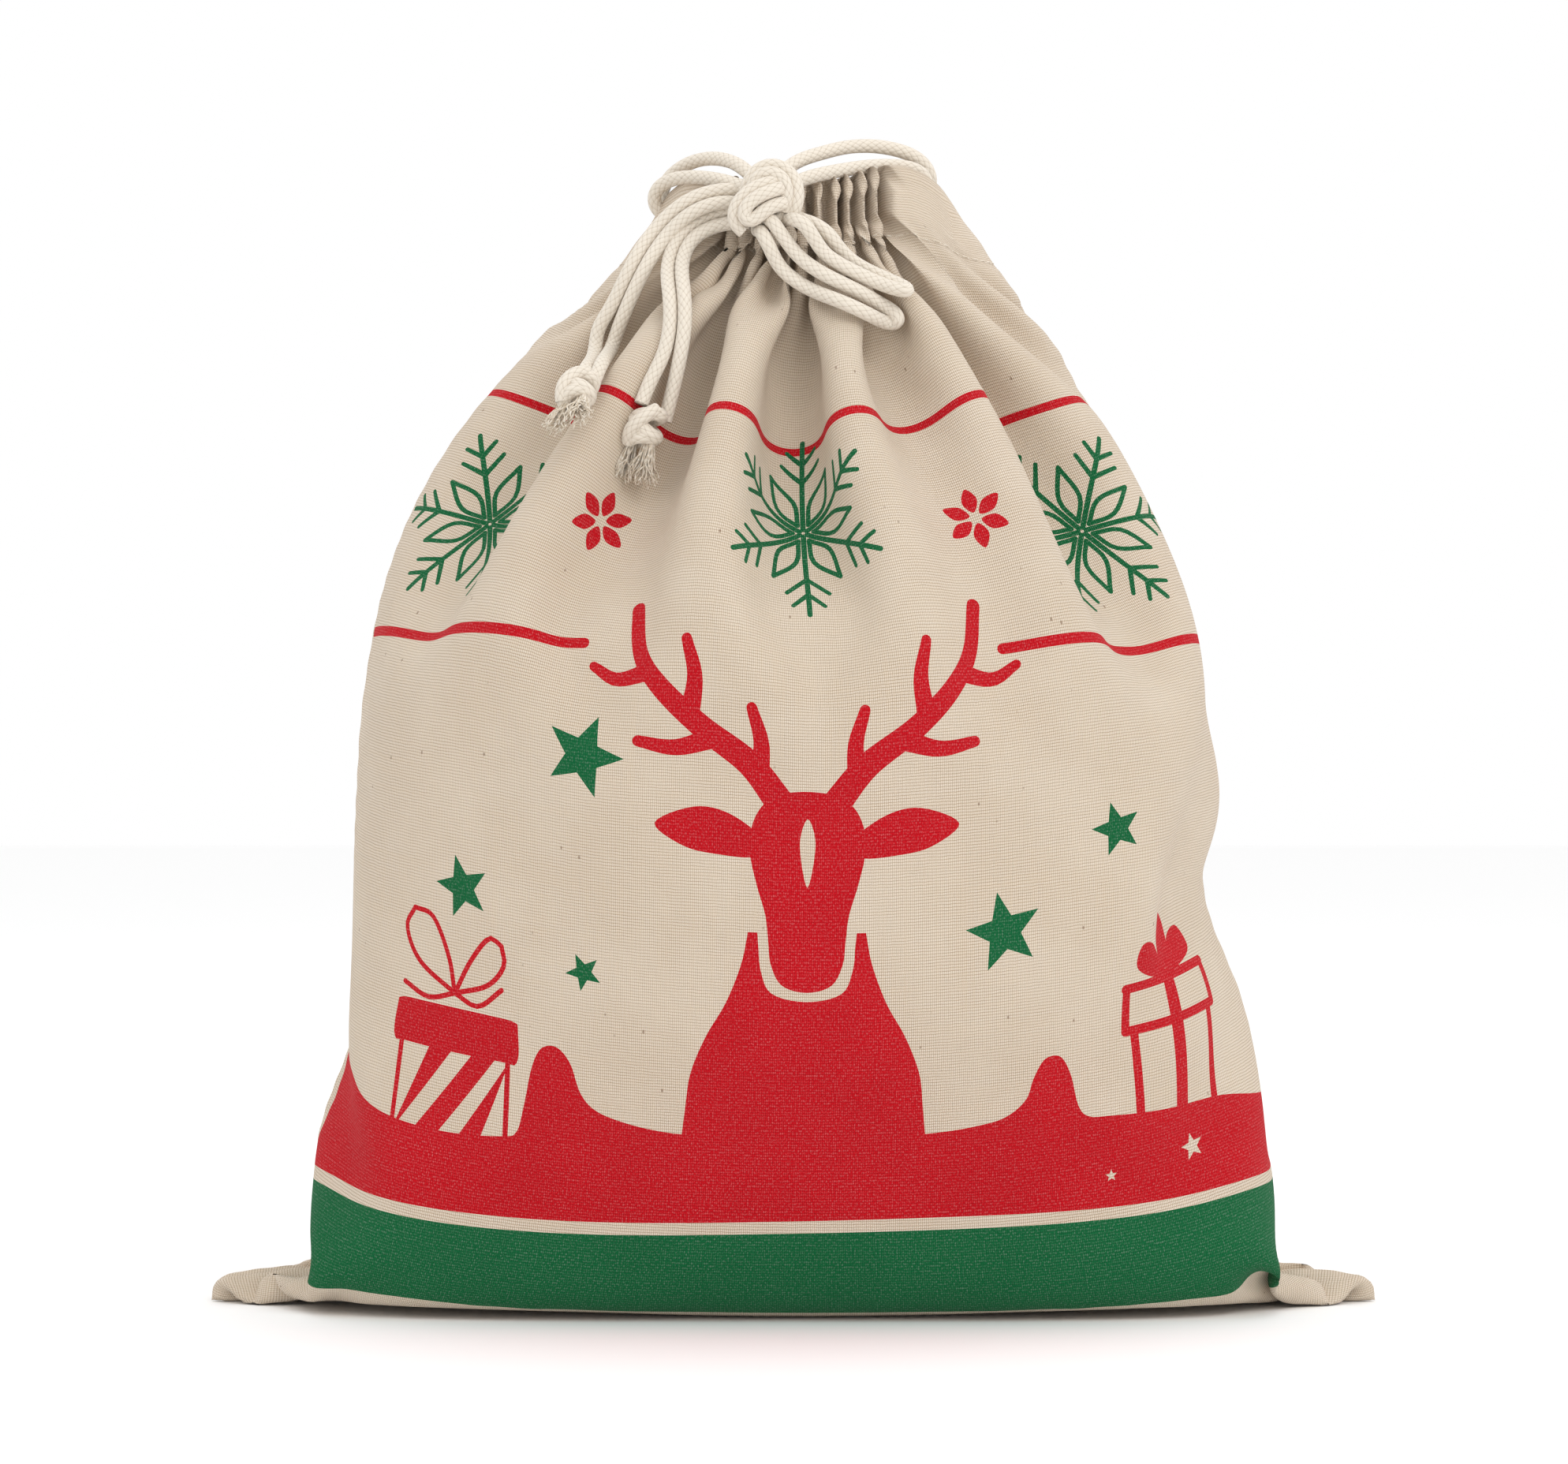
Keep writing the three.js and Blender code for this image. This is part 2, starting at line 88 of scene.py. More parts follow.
# The stuffing leans: height and how far its middle lies to the right.
LEAN = np.array([
    (0, 0), (0.060, 0.0010), (0.080, 0.0016), (0.100, 0.0040), (0.115, 0.0028), (0.130, -0.0006),
    (0.150, 0), (0.165, -0.0018), (0.215, -0.0066), (0.240, -0.0118), (0.255, -0.0135), (0.290, -0.0070),
    (0.325, 0.0035), (HEM_TOP, 0.0045),
])


# ---------- small helpers ----------

def smooth(x, low, high):
    """0 below low, 1 above high, and a smooth step between them."""
    t = np.clip((np.asarray(x, float) - low) / (high - low), 0, 1)
    return t * t * (3 - 2 * t)


def bump(x, middle, width):
    return np.exp(-(((x - middle) / width) ** 2))


def spline(points, count):
    """count points evenly spread in parameter along a Catmull-Rom curve through points."""
    p = np.asarray(points, float)
    p = np.vstack([2 * p[0] - p[1], p, 2 * p[-1] - p[-2]])
    t = np.linspace(0, len(p) - 3, count)
    i = np.minimum(t.astype(int), len(p) - 4)
    f = (t - i)[:, None]
    a, b, c, d = p[i], p[i + 1], p[i + 2], p[i + 3]
    return 0.5 * (2 * b + (c - a) * f + (2 * a - 5 * b + 4 * c - d) * f**2 + (3 * (b - c) + d - a) * f**3)


def unit(vectors):
    """Vectors brought to length 1."""
    vectors = np.asarray(vectors, float)
    if vectors.ndim == 1:
        return vectors / np.linalg.norm(vectors)
    return vectors / np.linalg.norm(vectors, axis=-1, keepdims=True)


def unit_or_none(vectors):
    """The same for vectors of which some may have no length."""
    return vectors / (np.linalg.norm(vectors, axis=-1, keepdims=True) + TINY)


def along(points):
    """Length from the first point to each point."""
    return np.concatenate([[0], np.cumsum(np.linalg.norm(np.diff(points, axis=0), axis=1))])


def resample(points, distances):
    """Points at these distances along a polyline."""
    length = along(points)
    return np.stack([np.interp(distances, length, points[:, k]) for k in range(points.shape[1])], axis=1)


PROFILE = spline(STATIONS, 600)


def girth(z):
    """Half width, half depth and section power of the smooth outside at height z."""
    return tuple(np.interp(z, PROFILE[:, 0], PROFILE[:, k]) for k in (1, 2, 3))


LEANING = spline(LEAN, 200)


def lean(z):
    return np.interp(z, LEANING[:, 0], LEANING[:, 1])


# ---------- the gathered mouth ----------

# Widths of the pleats along the mouth, left to right, in millimetres. Both ends of each panel stay smooth.
FRONT_PLEATS = (5.2, 4.1, 5.8, 4.4, 4.9, 3.8, 5.4, 6.0, 3.9, 5.3, 4.2, 5.9)
BACK_PLEATS = (4.4, 5.7, 4.0, 5.0, 4.6, 5.6, 3.9, 5.1, 4.3, 5.9, 4.1, 5.2)
PLEATS_LEFT = -0.029
PLEATS_RIGHT = 0.0275
PLEAT_UNEVENNESS = 0.18  # share by which their depths differ
PLEAT_DEPTHS = (0.002, 0.03)  # the depth that takes up the whole panel is looked for between these
HALVINGS = 20
OVAL_POINTS = 3001


def pleated_half(a, b, widths, columns):
    """The gathered cloth round the front half of the oval (a, b), at each column: smooth, pleats, smooth."""
    t = np.linspace(math.pi, 0, OVAL_POINTS)
    oval = np.stack([a * np.cos(t), -b * np.sin(t)], axis=1)
    inward = unit(-np.stack([np.cos(t) / a, -np.sin(t) / b], axis=1))
    arc = along(oval)
    first, last = np.interp((PLEATS_LEFT, PLEATS_RIGHT), oval[:, 0], arc)
    edges = first + (last - first) * np.concatenate([[0], np.cumsum(widths)]) / sum(widths)
    pleat = np.clip(np.searchsorted(edges, arc, side="right") - 1, 0, len(widths) - 1)
    share = np.clip((arc - edges[pleat]) / (edges[pleat + 1] - edges[pleat]), 0, 1)
    uneven = 1 + PLEAT_UNEVENNESS * np.sin(2.4 * pleat + 0.7)
    wave = uneven * (0.5 - 0.5 * np.cos(2 * math.pi * share))
    low, high = PLEAT_DEPTHS
    for _ in range(HALVINGS):
        depth = (low + high) / 2
        line = oval + inward * (depth * wave)[:, None]
        low, high = (depth, high) if along(line)[-1] < PANEL_WIDTH else (low, depth)
    return resample(line, np.linspace(0, along(line)[-1], columns + 1))


# How far below HEM_TOP the turned edge hangs, from left to right: x and drop.
HEM_DROP = np.array([
    (-0.0485, 0.0105), (-0.0445, 0.0085), (-0.0385, 0.0052), (-0.0200, 0.0062), (0.0000, 0.0064),
    (0.0120, 0.0060), (0.0190, 0.0044), (0.0240, 0.0022), (0.0330, 0.0024), (0.0385, 0.0042),
    (0.0430, 0.0070), (0.0460, 0.0100),
])


def gathered_ring(z, columns):
    """The closed ring of the gathered cloth about height z: the front from left to right, then the back."""
    a, b, _ = girth(z)
    front = pleated_half(a, b, FRONT_PLEATS, columns)
    back = pleated_half(a, b, BACK_PLEATS, columns)
    ring = np.concatenate([front[:-1], -back[:-1]])
    return np.column_stack([ring, z - np.interp(ring[:, 0], HEM_DROP[:, 0], HEM_DROP[:, 1])])


# ---------- the cloth before it settles ----------

# Folds below the mouth: share of the panel's width from its left seam, width in the same measure, depth.
FRONT_VALLEYS = (
    (0.150, 0.036, 0.008), (0.324, 0.042, 0.021), (0.418, 0.026, 0.005), (0.505, 0.050, 0.026),
    (0.650, 0.030, 0.006), (0.820, 0.044, 0.011),
)
BACK_VALLEYS = (
    (0.120, 0.040, 0.012), (0.270, 0.038, 0.018), (0.430, 0.036, 0.014), (0.555, 0.036, 0.020),
    (0.700, 0.032, 0.013), (0.860, 0.040, 0.014),
)
FOLDS_FROM, FOLDS_FULL = 0.282, 0.360  # along the cloth from the bottom seam
EAR_TIP = 0.189  # a bottom corner lies out this far from the middle
EAR_TIP_HEIGHT = 0.003
EAR_RUN = 0.045  # side seam, from the tip of a bottom corner to where it turns up
EAR_RISE = 0.014  # height at which it turns up
EAR_ROOT = 0.045  # half width of the ear where it leaves the sack
BASE_ENDS = (0.115, 0.165)  # the cloth lies flat under the stuffing up to here, from its middle
BASE_REACH = (0.050, 0.120)  # and turns into the sides over this stretch of its height
# The ears lie at most this high: distance from the middle of the sack, height.
EAR_TOP = np.array([
    (0.150, 0.026), (0.155, 0.019), (0.161, 0.0135), (0.168, 0.012), (0.180, 0.0095), (0.189, 0.006),
])
EAR_ALONG = 0.040  # up the panel, as far as the corner lies out as an ear
SIDE_LIMIT = 0.1535  # the sack comes no wider than this above its ears
PLEATED_FROM = 0.345  # along the cloth
CASING_SLOPE = 0.935  # height gained for each length along the casing
CORD_LINE = (0.422, 0.432)  # the cloth is held on its cords between these


def seam_run(v):
    """Height and half width of the side seam at v along the cloth."""
    z = np.linspace(EAR_RISE, HEM_TOP, 500)
    side = along(np.column_stack([z, girth(z)[0]]))
    up = np.interp(v, EAR_RUN + side * (PANEL_HEIGHT - EAR_RUN) / side[-1], z)
    share = np.clip(v / EAR_RUN, 0, 1)
    on_ear = v < EAR_RUN
    height = np.where(on_ear, EAR_TIP_HEIGHT + (EAR_RISE - EAR_TIP_HEIGHT) * share**1.5, up)
    root = girth(EAR_RISE)[0]
    return height, np.where(on_ear, EAR_TIP + (root - EAR_TIP) * share, girth(up)[0])


def front_run(v):
    """Height of the middle of the front at v along the cloth."""
    z = np.linspace(0, HEM_TOP, 500)
    middle = along(np.column_stack([z, girth(z)[1]]))
    return np.interp(v, HALF_BASE + middle * (PANEL_HEIGHT - HALF_BASE) / middle[-1], z)


def hollow(x, z):
    """How far the right side is pushed in at this height."""
    return np.where(x > 0, np.interp(z, HOLLOW[:, 0], HOLLOW[:, 1]), 0)


def first_guess(columns, rows):
    """The tube of both panels on the smooth outside, with the folds of the neck begun."""
    share = np.arange(2 * columns) / columns  # 0 to 1 over the front, 1 to 2 over the back
    turn, middle, half = LEFT_TURN
    v = np.linspace(0, PANEL_HEIGHT, rows + 1)
    seam_z, seam_x = seam_run(v)
    middle_z = front_run(v)
    folds = np.zeros(2 * columns)
    for start, valleys in ((0, FRONT_VALLEYS), (1, BACK_VALLEYS)):
        on_panel = (share >= start) & (share < start + 1)
        folds += on_panel * sum(depth * bump(share - start, at, wide) for at, wide, depth in valleys)
    flat_x = EAR_TIP * -bottom_line(share)
    on_base = 1 - smooth(np.abs(flat_x), *BASE_ENDS)
    tube = np.zeros((rows + 1, 2 * columns, 3))
    for i in range(rows + 1):
        level = math.pi * (1 - share)
        angle = level - turn * bump(v[i], middle, half) ** 2 * (0.5 + 0.5 * np.cos(math.pi * share))
        z = seam_z[i] + (middle_z[i] - seam_z[i]) * np.abs(np.sin(level)) ** 0.8
        a, b, power = girth(z)
        cos, sin = np.cos(angle), np.sin(angle)
        x = a * np.sign(cos) * np.abs(cos) ** (2 / power)
        x += (flat_x - x) * on_base * (1 - smooth(v[i], *BASE_REACH))
        out = (1 - np.minimum(1, np.abs(x / a)) ** power) ** (1 / power)
        y = -b * np.sign(sin) * out * min(1, v[i] / HALF_BASE)
        x -= hollow(x, z) * smooth(cos, 0.75, 1)
        x += np.sign(cos) * max(0, seam_x[i] - girth(seam_z[i])[0]) * np.maximum(0, 1 - np.abs(y) / EAR_ROOT)
        inward = -np.stack([x / a**2, y / b**2], axis=1)
        inward /= np.linalg.norm(inward, axis=1, keepdims=True) + 1e-9
        dent = (folds * smooth(v[i], FOLDS_FROM, FOLDS_FULL))[:, None]
        tube[i] = np.column_stack([np.stack([x, y], axis=1) + inward * dent, z])
        if v[i] > PLEATED_FROM:
            ring = gathered_ring(HEM_TOP - (PANEL_HEIGHT - v[i]) * CASING_SLOPE, columns)
            tube[i] += (ring - tube[i]) * smooth(v[i], PLEATED_FROM, CORD_LINE[0])
    tube[0] = np.column_stack([EAR_TIP * -bottom_line(share), 0 * share, 0 * share])
    tube[:, :, 0] += lean(tube[:, :, 2])
    return tube


def bottom_line(share):
    """1 at the left seam, -1 at the right seam, evenly along the bottom seam and back again."""
    return 1 - 2 * np.where(share < 1, share, 2 - share)


# ---------- the solver ----------

GRAVITY = 2e-6  # metres in each step
BEND = 0.05  # share of a bend that is spread in each pass
PLEAT_EASE = 0.75  # it is less by this share in the pleats
PLEAT_EASE_REACH = (0.82, 0.92)  # as shares of the panel's height
GRIP = 0.15  # how firmly the gathers keep their first place in each step
GRIPPED = (0.378, 0.418)  # along the cloth, from nowhere to fully
FLOOR_GRIP = 0.3  # the share of it with which the floor holds the cloth
GRIPPED_BY_FLOOR = (0.020, 0.060)  # from fully to nowhere
SEAM_DRAW = 0.10  # the stitching shortens the side seams by up to this share
DRAWN_FROM, DRAWN_FULL = 0.06, 0.26  # along the cloth
SEAM_REACH = 0.09  # of the panel's width
SHEAR = 0.3  # how firmly the weave keeps its square corners
DAMPING = 0.85  # share of its speed that the cloth keeps
PASSES = 3  # over the threads in each step
STAND_OFF = 0.0008  # the stuffing ends this far inside the smooth outside
DOME_FROM = 0.2  # height from which the stuffing closes in
FURTHEST_PUSH = 1.15  # the stuffing moves cloth out by this factor at most in one step
ON_FLOOR = 0.004  # cloth below this height lies under the stuffing
PARTED_BELOW = 0.03  # the panels keep apart below this height
COARSE_GRID = (96, 112)  # columns over one panel, rows
COARSE_STEPS = 200
FINE_STEPS = 40
TINY = 1e-12


def thread_groups(rows, width):
    """Pairs of neighbours in a tube of rows by width points, as groups in which no point comes twice."""
    index = np.arange(rows * width).reshape(rows, width)
    across = [(index[:, s::2], np.roll(index, -1, axis=1)[:, s::2]) for s in (0, 1)]
    up = [(index[s:-1:2], index[s + 1 :: 2]) for s in (0, 1)]
    slant = []
    for s in (0, 1):
        for turn in (-1, 1):
            slant.append((index[s:-1:2], np.roll(index, turn, axis=1)[s + 1 :: 2]))
    return [[(a.ravel(), b.ravel()) for a, b in group] for group in (across, up, slant)]


def pull(points, free, pair, rest, stiffness=1.0):
    """Moves each pair of points to its rest length, which is one value or one for each pair."""
    a, b = pair
    gap = points[b] - points[a]
    length = np.linalg.norm(gap, axis=1)
    share = stiffness * (length - rest) / (length * np.maximum(free[a] + free[b], 1) + TINY)
    move = gap * share[:, None]
    points[a] += move * free[a][:, None]
    points[b] -= move * free[b][:, None]


def bend_out(grid, free):
    """Spreads sharp bends over their neighbours, round the tube and along it. The pleats bend easily."""
    height = np.arange(len(grid)) / (len(grid) - 1)
    free = free * (1 - PLEAT_EASE * smooth(height, *PLEAT_EASE_REACH))[:, None]
    round_tube = sum(c * np.roll(grid, s, axis=1) for s, c in ((-2, 1), (-1, -4), (0, 6), (1, -4), (2, 1)))
    grid -= BEND * free[:, :, None] * round_tube
    upward = grid[:-4] - 4 * grid[1:-3] + 6 * grid[2:-2] - 4 * grid[3:-1] + grid[4:]
    grid[2:-2] -= BEND * free[2:-2, :, None] * upward


def keep_out(grid, free, columns):
    """Keeps the cloth outside the stuffing, above the floor, and each panel on its own side."""
    x, y, z = grid[:, :, 0], grid[:, :, 1], grid[:, :, 2]
    x -= lean(z)
    a, b, power = girth(np.clip(z, 0, STUFFING_TOP))
    rise = (np.clip(z, DOME_FROM, STUFFING_TOP) - DOME_FROM) ** 2
    dome = np.sqrt(np.clip(1 - rise / (STUFFING_TOP - DOME_FROM) ** 2, 1e-4, 1))
    a = a - hollow(x, z)
    depth = (np.abs(x) / ((a - STAND_OFF) * dome)) ** power + (np.abs(y) / ((b - STAND_OFF) * dome)) ** power
    inside = (depth < 1) & (z > ON_FLOOR) & (z < STUFFING_TOP) & (free > 0)
    out = np.where(inside, np.minimum(np.clip(depth, 1e-6, 1) ** (-1 / power), FURTHEST_PUSH), 1)
    x *= out
    x += lean(z)
    y *= out
    in_ear = (np.linspace(0, PANEL_HEIGHT, len(grid)) < EAR_ALONG)[:, None]
    ear_top = np.interp(np.abs(x), EAR_TOP[:, 0], EAR_TOP[:, 1])
    z[:] = np.clip(z, 0.5 * CLOTH, np.where(in_ear, ear_top, HEM_TOP + CASING))
    x[:] = np.where(in_ear, x, np.clip(x, -SIDE_LIMIT, SIDE_LIMIT))
    low = z < PARTED_BELOW
    front, back = y[:, 1:columns], y[:, columns + 1 :]
    front[:] = np.where(low[:, 1:columns], np.minimum(front, -0.5 * CLOTH), front)
    back[:] = np.where(low[:, columns + 1 :], np.maximum(back, 0.5 * CLOTH), back)


def settle(grid, free, steps):
    """Lets the tube of cloth settle for this many steps."""
    rows, width, _ = grid.shape
    across, up, slant = thread_groups(rows, width)
    columns = width // 2
    rest_u = PANEL_WIDTH / columns
    rest_v = PANEL_HEIGHT / (rows - 1)
    from_seam = 0.5 - np.abs((np.arange(width) / columns) % 1 - 0.5)
    height = rest_v * np.arange(rows)
    drawn = SEAM_DRAW * smooth(height, DRAWN_FROM, DRAWN_FULL)[:, None] * bump(from_seam, 0, SEAM_REACH)
    drawn_up = [rest_v * (1 - drawn.ravel()[pair[0]]) for pair in up]
    flat_free = free.ravel()
    home = grid.copy()
    gripped = smooth(height, *GRIPPED) + FLOOR_GRIP * (1 - smooth(height, *GRIPPED_BY_FLOOR))
    speed = np.zeros_like(grid)
    for _ in range(steps):
        before = grid.copy()
        grid += DAMPING * speed * free[:, :, None]
        grid[:, :, 2] -= GRAVITY * free
        points = grid.reshape(-1, 3)
        for _ in range(PASSES):
            for pair in across:
                pull(points, flat_free, pair, rest_u)
            for pair, rest in zip(up, drawn_up):
                pull(points, flat_free, pair, rest)
            bend_out(grid, free)
        for pair in slant:
            pull(points, flat_free, pair, math.hypot(rest_u, rest_v), SHEAR)
        keep_out(grid, free, columns)
        grid += (GRIP * gripped)[:, None, None] * (home - grid)
        speed = grid - before
    return grid


def held_points(columns, rows):
    """1 where the cloth is free, 0 at the bottom seam and where it is held on its cords."""
    v = np.linspace(0, PANEL_HEIGHT, rows + 1)
    free = np.ones((rows + 1, 2 * columns))
    free[0] = 0
    free[(v >= CORD_LINE[0]) & (v <= CORD_LINE[1])] = 0
    free[-1] = 0
    return free


def doubled(grid):
    """The tube with a point between each two, round it and along it."""
    round_tube = np.empty((grid.shape[0], 2 * grid.shape[1], 3))
    round_tube[:, ::2] = grid
    round_tube[:, 1::2] = (
        9 * (grid + np.roll(grid, -1, axis=1)) - np.roll(grid, 1, axis=1) - np.roll(grid, -2, axis=1)
    ) / 16
    fine = np.empty((2 * grid.shape[0] - 1, round_tube.shape[1], 3))
    fine[::2] = round_tube
    padded = np.concatenate([round_tube[:1], round_tube, round_tube[-1:]])
    fine[1::2] = (9 * (padded[1:-2] + padded[2:-1]) - padded[:-3] - padded[3:]) / 16
    return fine


def settled_sack():
    """The settled tube of both panels: coarse cells first, then cells of half their size."""
    columns, rows = COARSE_GRID
    grid = settle(first_guess(columns, rows), held_points(columns, rows), COARSE_STEPS)
    grid = doubled(grid)
    grid[:, :, 0] -= hollow(grid[:, :, 0], grid[:, :, 2]) * smooth(grid[:, :, 0], 0.105, 0.14)
    target = first_guess(2 * columns, 2 * rows)
    free = held_points(2 * columns, 2 * rows)
    grid[free == 0] = target[free == 0]
    return settle(grid, free, FINE_STEPS)


# ---------- the settled cloth, and meshes ----------

SACK = settled_sack()
ROWS, WIDTH, _ = SACK.shape
COLUMNS = WIDTH // 2
STITCH_LINE = PANEL_HEIGHT - CASING


def weights(f):
    """Catmull-Rom weights of four neighbours at the share f between the middle two."""
    return 0.5 * np.stack([
        -f + 2 * f**2 - f**3, 2 - 5 * f**2 + 3 * f**3, f + 4 * f**2 - 3 * f**3, f**3 - f**2,
    ])


def sample(grid, share, v):
    """A grid over the cloth, read smoothly: share is 0 to 1 over the front and 1 to 2 over the back."""
    u = np.asarray(share, float) * COLUMNS
    w = np.clip(np.asarray(v, float) / PANEL_HEIGHT * (ROWS - 1), 0, ROWS - 1.0001)
    column, row = np.floor(u).astype(int), np.floor(w).astype(int)
    across, up = weights(u - column), weights(w - row)
    total = 0
    for k in range(4):
        i = np.clip(row + k - 1, 0, ROWS - 1)
        for m in range(4):
            total = total + (up[k] * across[m])[..., None] * grid[i, (column + m - 1) % WIDTH]
    return total


def mesh_object(name, points, faces, normals=None, uvs=None, materials=(), face_material=None):
    """A smooth mesh, with its own normals and one UV pair for each point if they are given."""
    mesh = bpy.data.meshes.new(name)
    mesh.from_pydata(np.asarray(points).tolist(), [], [list(map(int, f)) for f in faces])
    mesh.polygons.foreach_set("use_smooth", [True] * len(mesh.polygons))
    if uvs is not None:
        corners = np.zeros(len(mesh.loops), np.int32)
        mesh.loops.foreach_get("vertex_index", corners)
        mesh.uv_layers.new(name="cloth").data.foreach_set("uv", np.asarray(uvs)[corners].ravel())
    for material in materials:
        mesh.materials.append(material)
    if face_material is not None:
        mesh.polygons.foreach_set("material_index", face_material)
    if normals is not None:
        mesh.normals_split_custom_set_from_vertices(np.asarray(normals).tolist())
    mesh.update()
    piece = bpy.data.objects.new(name, mesh)
    bpy.context.scene.collection.objects.link(piece)
    return piece


def quads(rows, columns, wrap=False):
    """Faces of a grid of rows by columns points. With wrap, the last column joins the first."""
    index = np.arange(rows * columns).reshape(rows, columns)
    right = np.roll(index, -1, axis=1)
    if not wrap:
        index, right = index[:, :-1], right[:, :-1]
    return np.stack([index[:-1], right[:-1], right[1:], index[1:]], axis=-1).reshape(-1, 4)


# ---------- materials ----------

WARP_PITCH = 0.00063  # between upright threads
WEFT_PITCH = 0.00092  # between level threads


class Nodes:
    """A short way to write a material's nodes: each method adds one node and returns its output."""

    def __init__(self, name, roughness):
        self.material = bpy.data.materials.new(name)
        self.material.use_nodes = True
        self.tree = self.material.node_tree
        self.shader = self.tree.nodes["Principled BSDF"]
        self.shader.inputs["Roughness"].default_value = roughness
        self.shader.inputs["Specular IOR Level"].default_value = 0.25

    def add(self, kind, inputs=(), output=0, **settings):
        node = self.tree.nodes.new("ShaderNode" + kind)
        for key, value in settings.items():
            setattr(node, key, value)
        for key, value in dict(inputs).items():
            if isinstance(value, bpy.types.NodeSocket):
                self.tree.links.new(value, node.inputs[key])
            else:
                node.inputs[key].default_value = value
        return node.outputs[output]

    def math(self, operation, a, b=0.0):
        return self.add("Math", {0: a, 1: b}, operation=operation)

    def times(self, a, b):
        return self.math("MULTIPLY", a, b)

    def plus(self, a, b):
        return self.math("ADD", a, b)

    def wave(self, a):
        """0 to 1 and back for each whole step of a."""
        return self.math("ABSOLUTE", self.math("SINE", self.times(a, math.pi)))

    def odd_even(self, a):
        """0 and 1 in turn for a whole number."""
        return self.math("MODULO", self.math("ABSOLUTE", a), 2.0)

    def other(self, share):
        return self.math("SUBTRACT", 1.0, share)

    def mix(self, share, a, b):
        return self.add("Mix", {0: share, 6: a, 7: b}, output=2, data_type="RGBA")

    def remap(self, value, low, high, to_low=0.0, to_high=1.0):
        inputs = {0: value, 1: low, 2: high, 3: to_low, 4: to_high}
        return self.add("MapRange", inputs, interpolation_type="SMOOTHSTEP")

    def noise(self, vector, scale, detail=2.0, roughness=0.5):
        inputs = {"Vector": vector, "Scale": scale, "Detail": detail, "Roughness": roughness}
        return self.add("TexNoise", inputs)

    def stretched(self, vector, x, y):
        return self.add("Mapping", {"Vector": vector, "Scale": (x, y, 1.0)})

    def parts(self, vector):
        """The x and y of a vector."""
        return self.add("SeparateXYZ", {0: vector}).node.outputs[:2]

    def link(self, value, socket):
        self.tree.links.new(value, self.shader.inputs[socket])


def srgb(red, green, blue):
    """A linear colour from 0 to 255 display values."""
    share = [c / 255 for c in (red, green, blue)]
    return tuple(c / 12.92 if c <= 0.04045 else ((c + 0.055) / 1.055) ** 2.4 for c in share) + (1.0,)


def weave(n, uv):
    """Thread tops from 0 to 1 of a plain weave: flat cells over and under in turn."""
    wobble = n.times(n.math("SUBTRACT", n.noise(n.stretched(uv, 260, 260), 1.0, 1.0), 0.5), 0.5)
    x, y = n.parts(uv)
    across = n.plus(n.math("DIVIDE", x, WARP_PITCH), wobble)
    up = n.plus(n.math("DIVIDE", y, WEFT_PITCH), wobble)
    warp, weft = n.wave(across), n.wave(up)
    over = n.odd_even(n.plus(n.math("FLOOR", across), n.math("FLOOR", up)))
    crown = n.math("SQRT", n.times(warp, weft))
    warp_top = n.times(n.math("POWER", warp, 0.7), n.math("POWER", weft, 0.35))
    weft_top = n.times(n.math("POWER", weft, 0.7), n.math("POWER", warp, 0.35))
    top = n.plus(n.times(over, warp_top), n.times(n.other(over), weft_top))
    return n.plus(n.times(top, 0.8), n.times(crown, 0.2))


CANVAS = srgb(221, 207, 190)
# The next colour is painted shade in the gaps between the threads.
CANVAS_GAP_SHADE = srgb(166, 142, 113)
THREAD_TONE = srgb(214, 192, 162)
PALE_TONE = srgb(240, 230, 214)
SPECK = srgb(112, 80, 50)
RED_INK = srgb(196, 10, 26)
GREEN_INK = srgb(12, 100, 56)


def cloth_material(name, ink=None):
    """Cotton canvas in plain weave, unbleached or under a printed ink."""
    n = Nodes(name, 0.93)
    uv = n.add("UVMap", uv_map="cloth")
    height = weave(n, uv)
    cloud = n.noise(uv, 34.0, 3.0)
    colour = inked(n, ink, uv, height, cloud) if ink else unbleached(n, uv, height, cloud)
    n.link(colour, "Base Color")
    n.link(n.remap(height, 0.0, 1.0, 0.98, 0.86), "Roughness")
    n.shader.inputs["Sheen Weight"].default_value = 0.04 if ink else 0.15
    n.shader.inputs["Sheen Roughness"].default_value = 0.5
    n.shader.inputs["Specular IOR Level"].default_value = 0.12
    fluff = n.times(n.noise(n.stretched(uv, 1 / WARP_PITCH, 1 / WEFT_PITCH), 2.6, 2.0), 0.25)
    n.link(n.add("Bump", {"Strength": 0.7, "Distance": 0.0003, "Height": n.plus(height, fluff)}), "Normal")
    return n.material


def unbleached(n, uv, height, cloud):
    """Uneven threads, with painted shade in the gaps between them and a few small spots of cotton husk."""
    warp_streak = n.noise(n.stretched(uv, 1 / WARP_PITCH, 14), 1.0, 1.0)
    weft_streak = n.noise(n.stretched(uv, 14, 1 / WEFT_PITCH), 1.0, 1.0)
    thread_tone = n.remap(n.plus(n.times(warp_streak, 0.5), n.times(weft_streak, 0.5)), 0.34, 0.66)
    husk = n.add("TexVoronoi", {"Vector": n.stretched(uv, 1.0, 0.6), "Scale": 330.0}, feature="F1")
    chosen = n.remap(n.add("SeparateColor", {0: husk.node.outputs["Color"]}), 0.93, 0.95)
    spot = n.times(n.remap(husk, 0.16, 0.07), chosen)
    # Painted shade: the canvas darkens from the thread tops into the gaps between them.
    bare = n.mix(n.remap(height, 0.1, 0.75), CANVAS_GAP_SHADE, CANVAS)
    bare = n.mix(n.times(thread_tone, 0.22), bare, THREAD_TONE)
    bare = n.mix(n.times(n.remap(cloud, 0.35, 0.7), 0.12), bare, PALE_TONE)
    return n.mix(n.times(spot, 0.62), bare, SPECK)


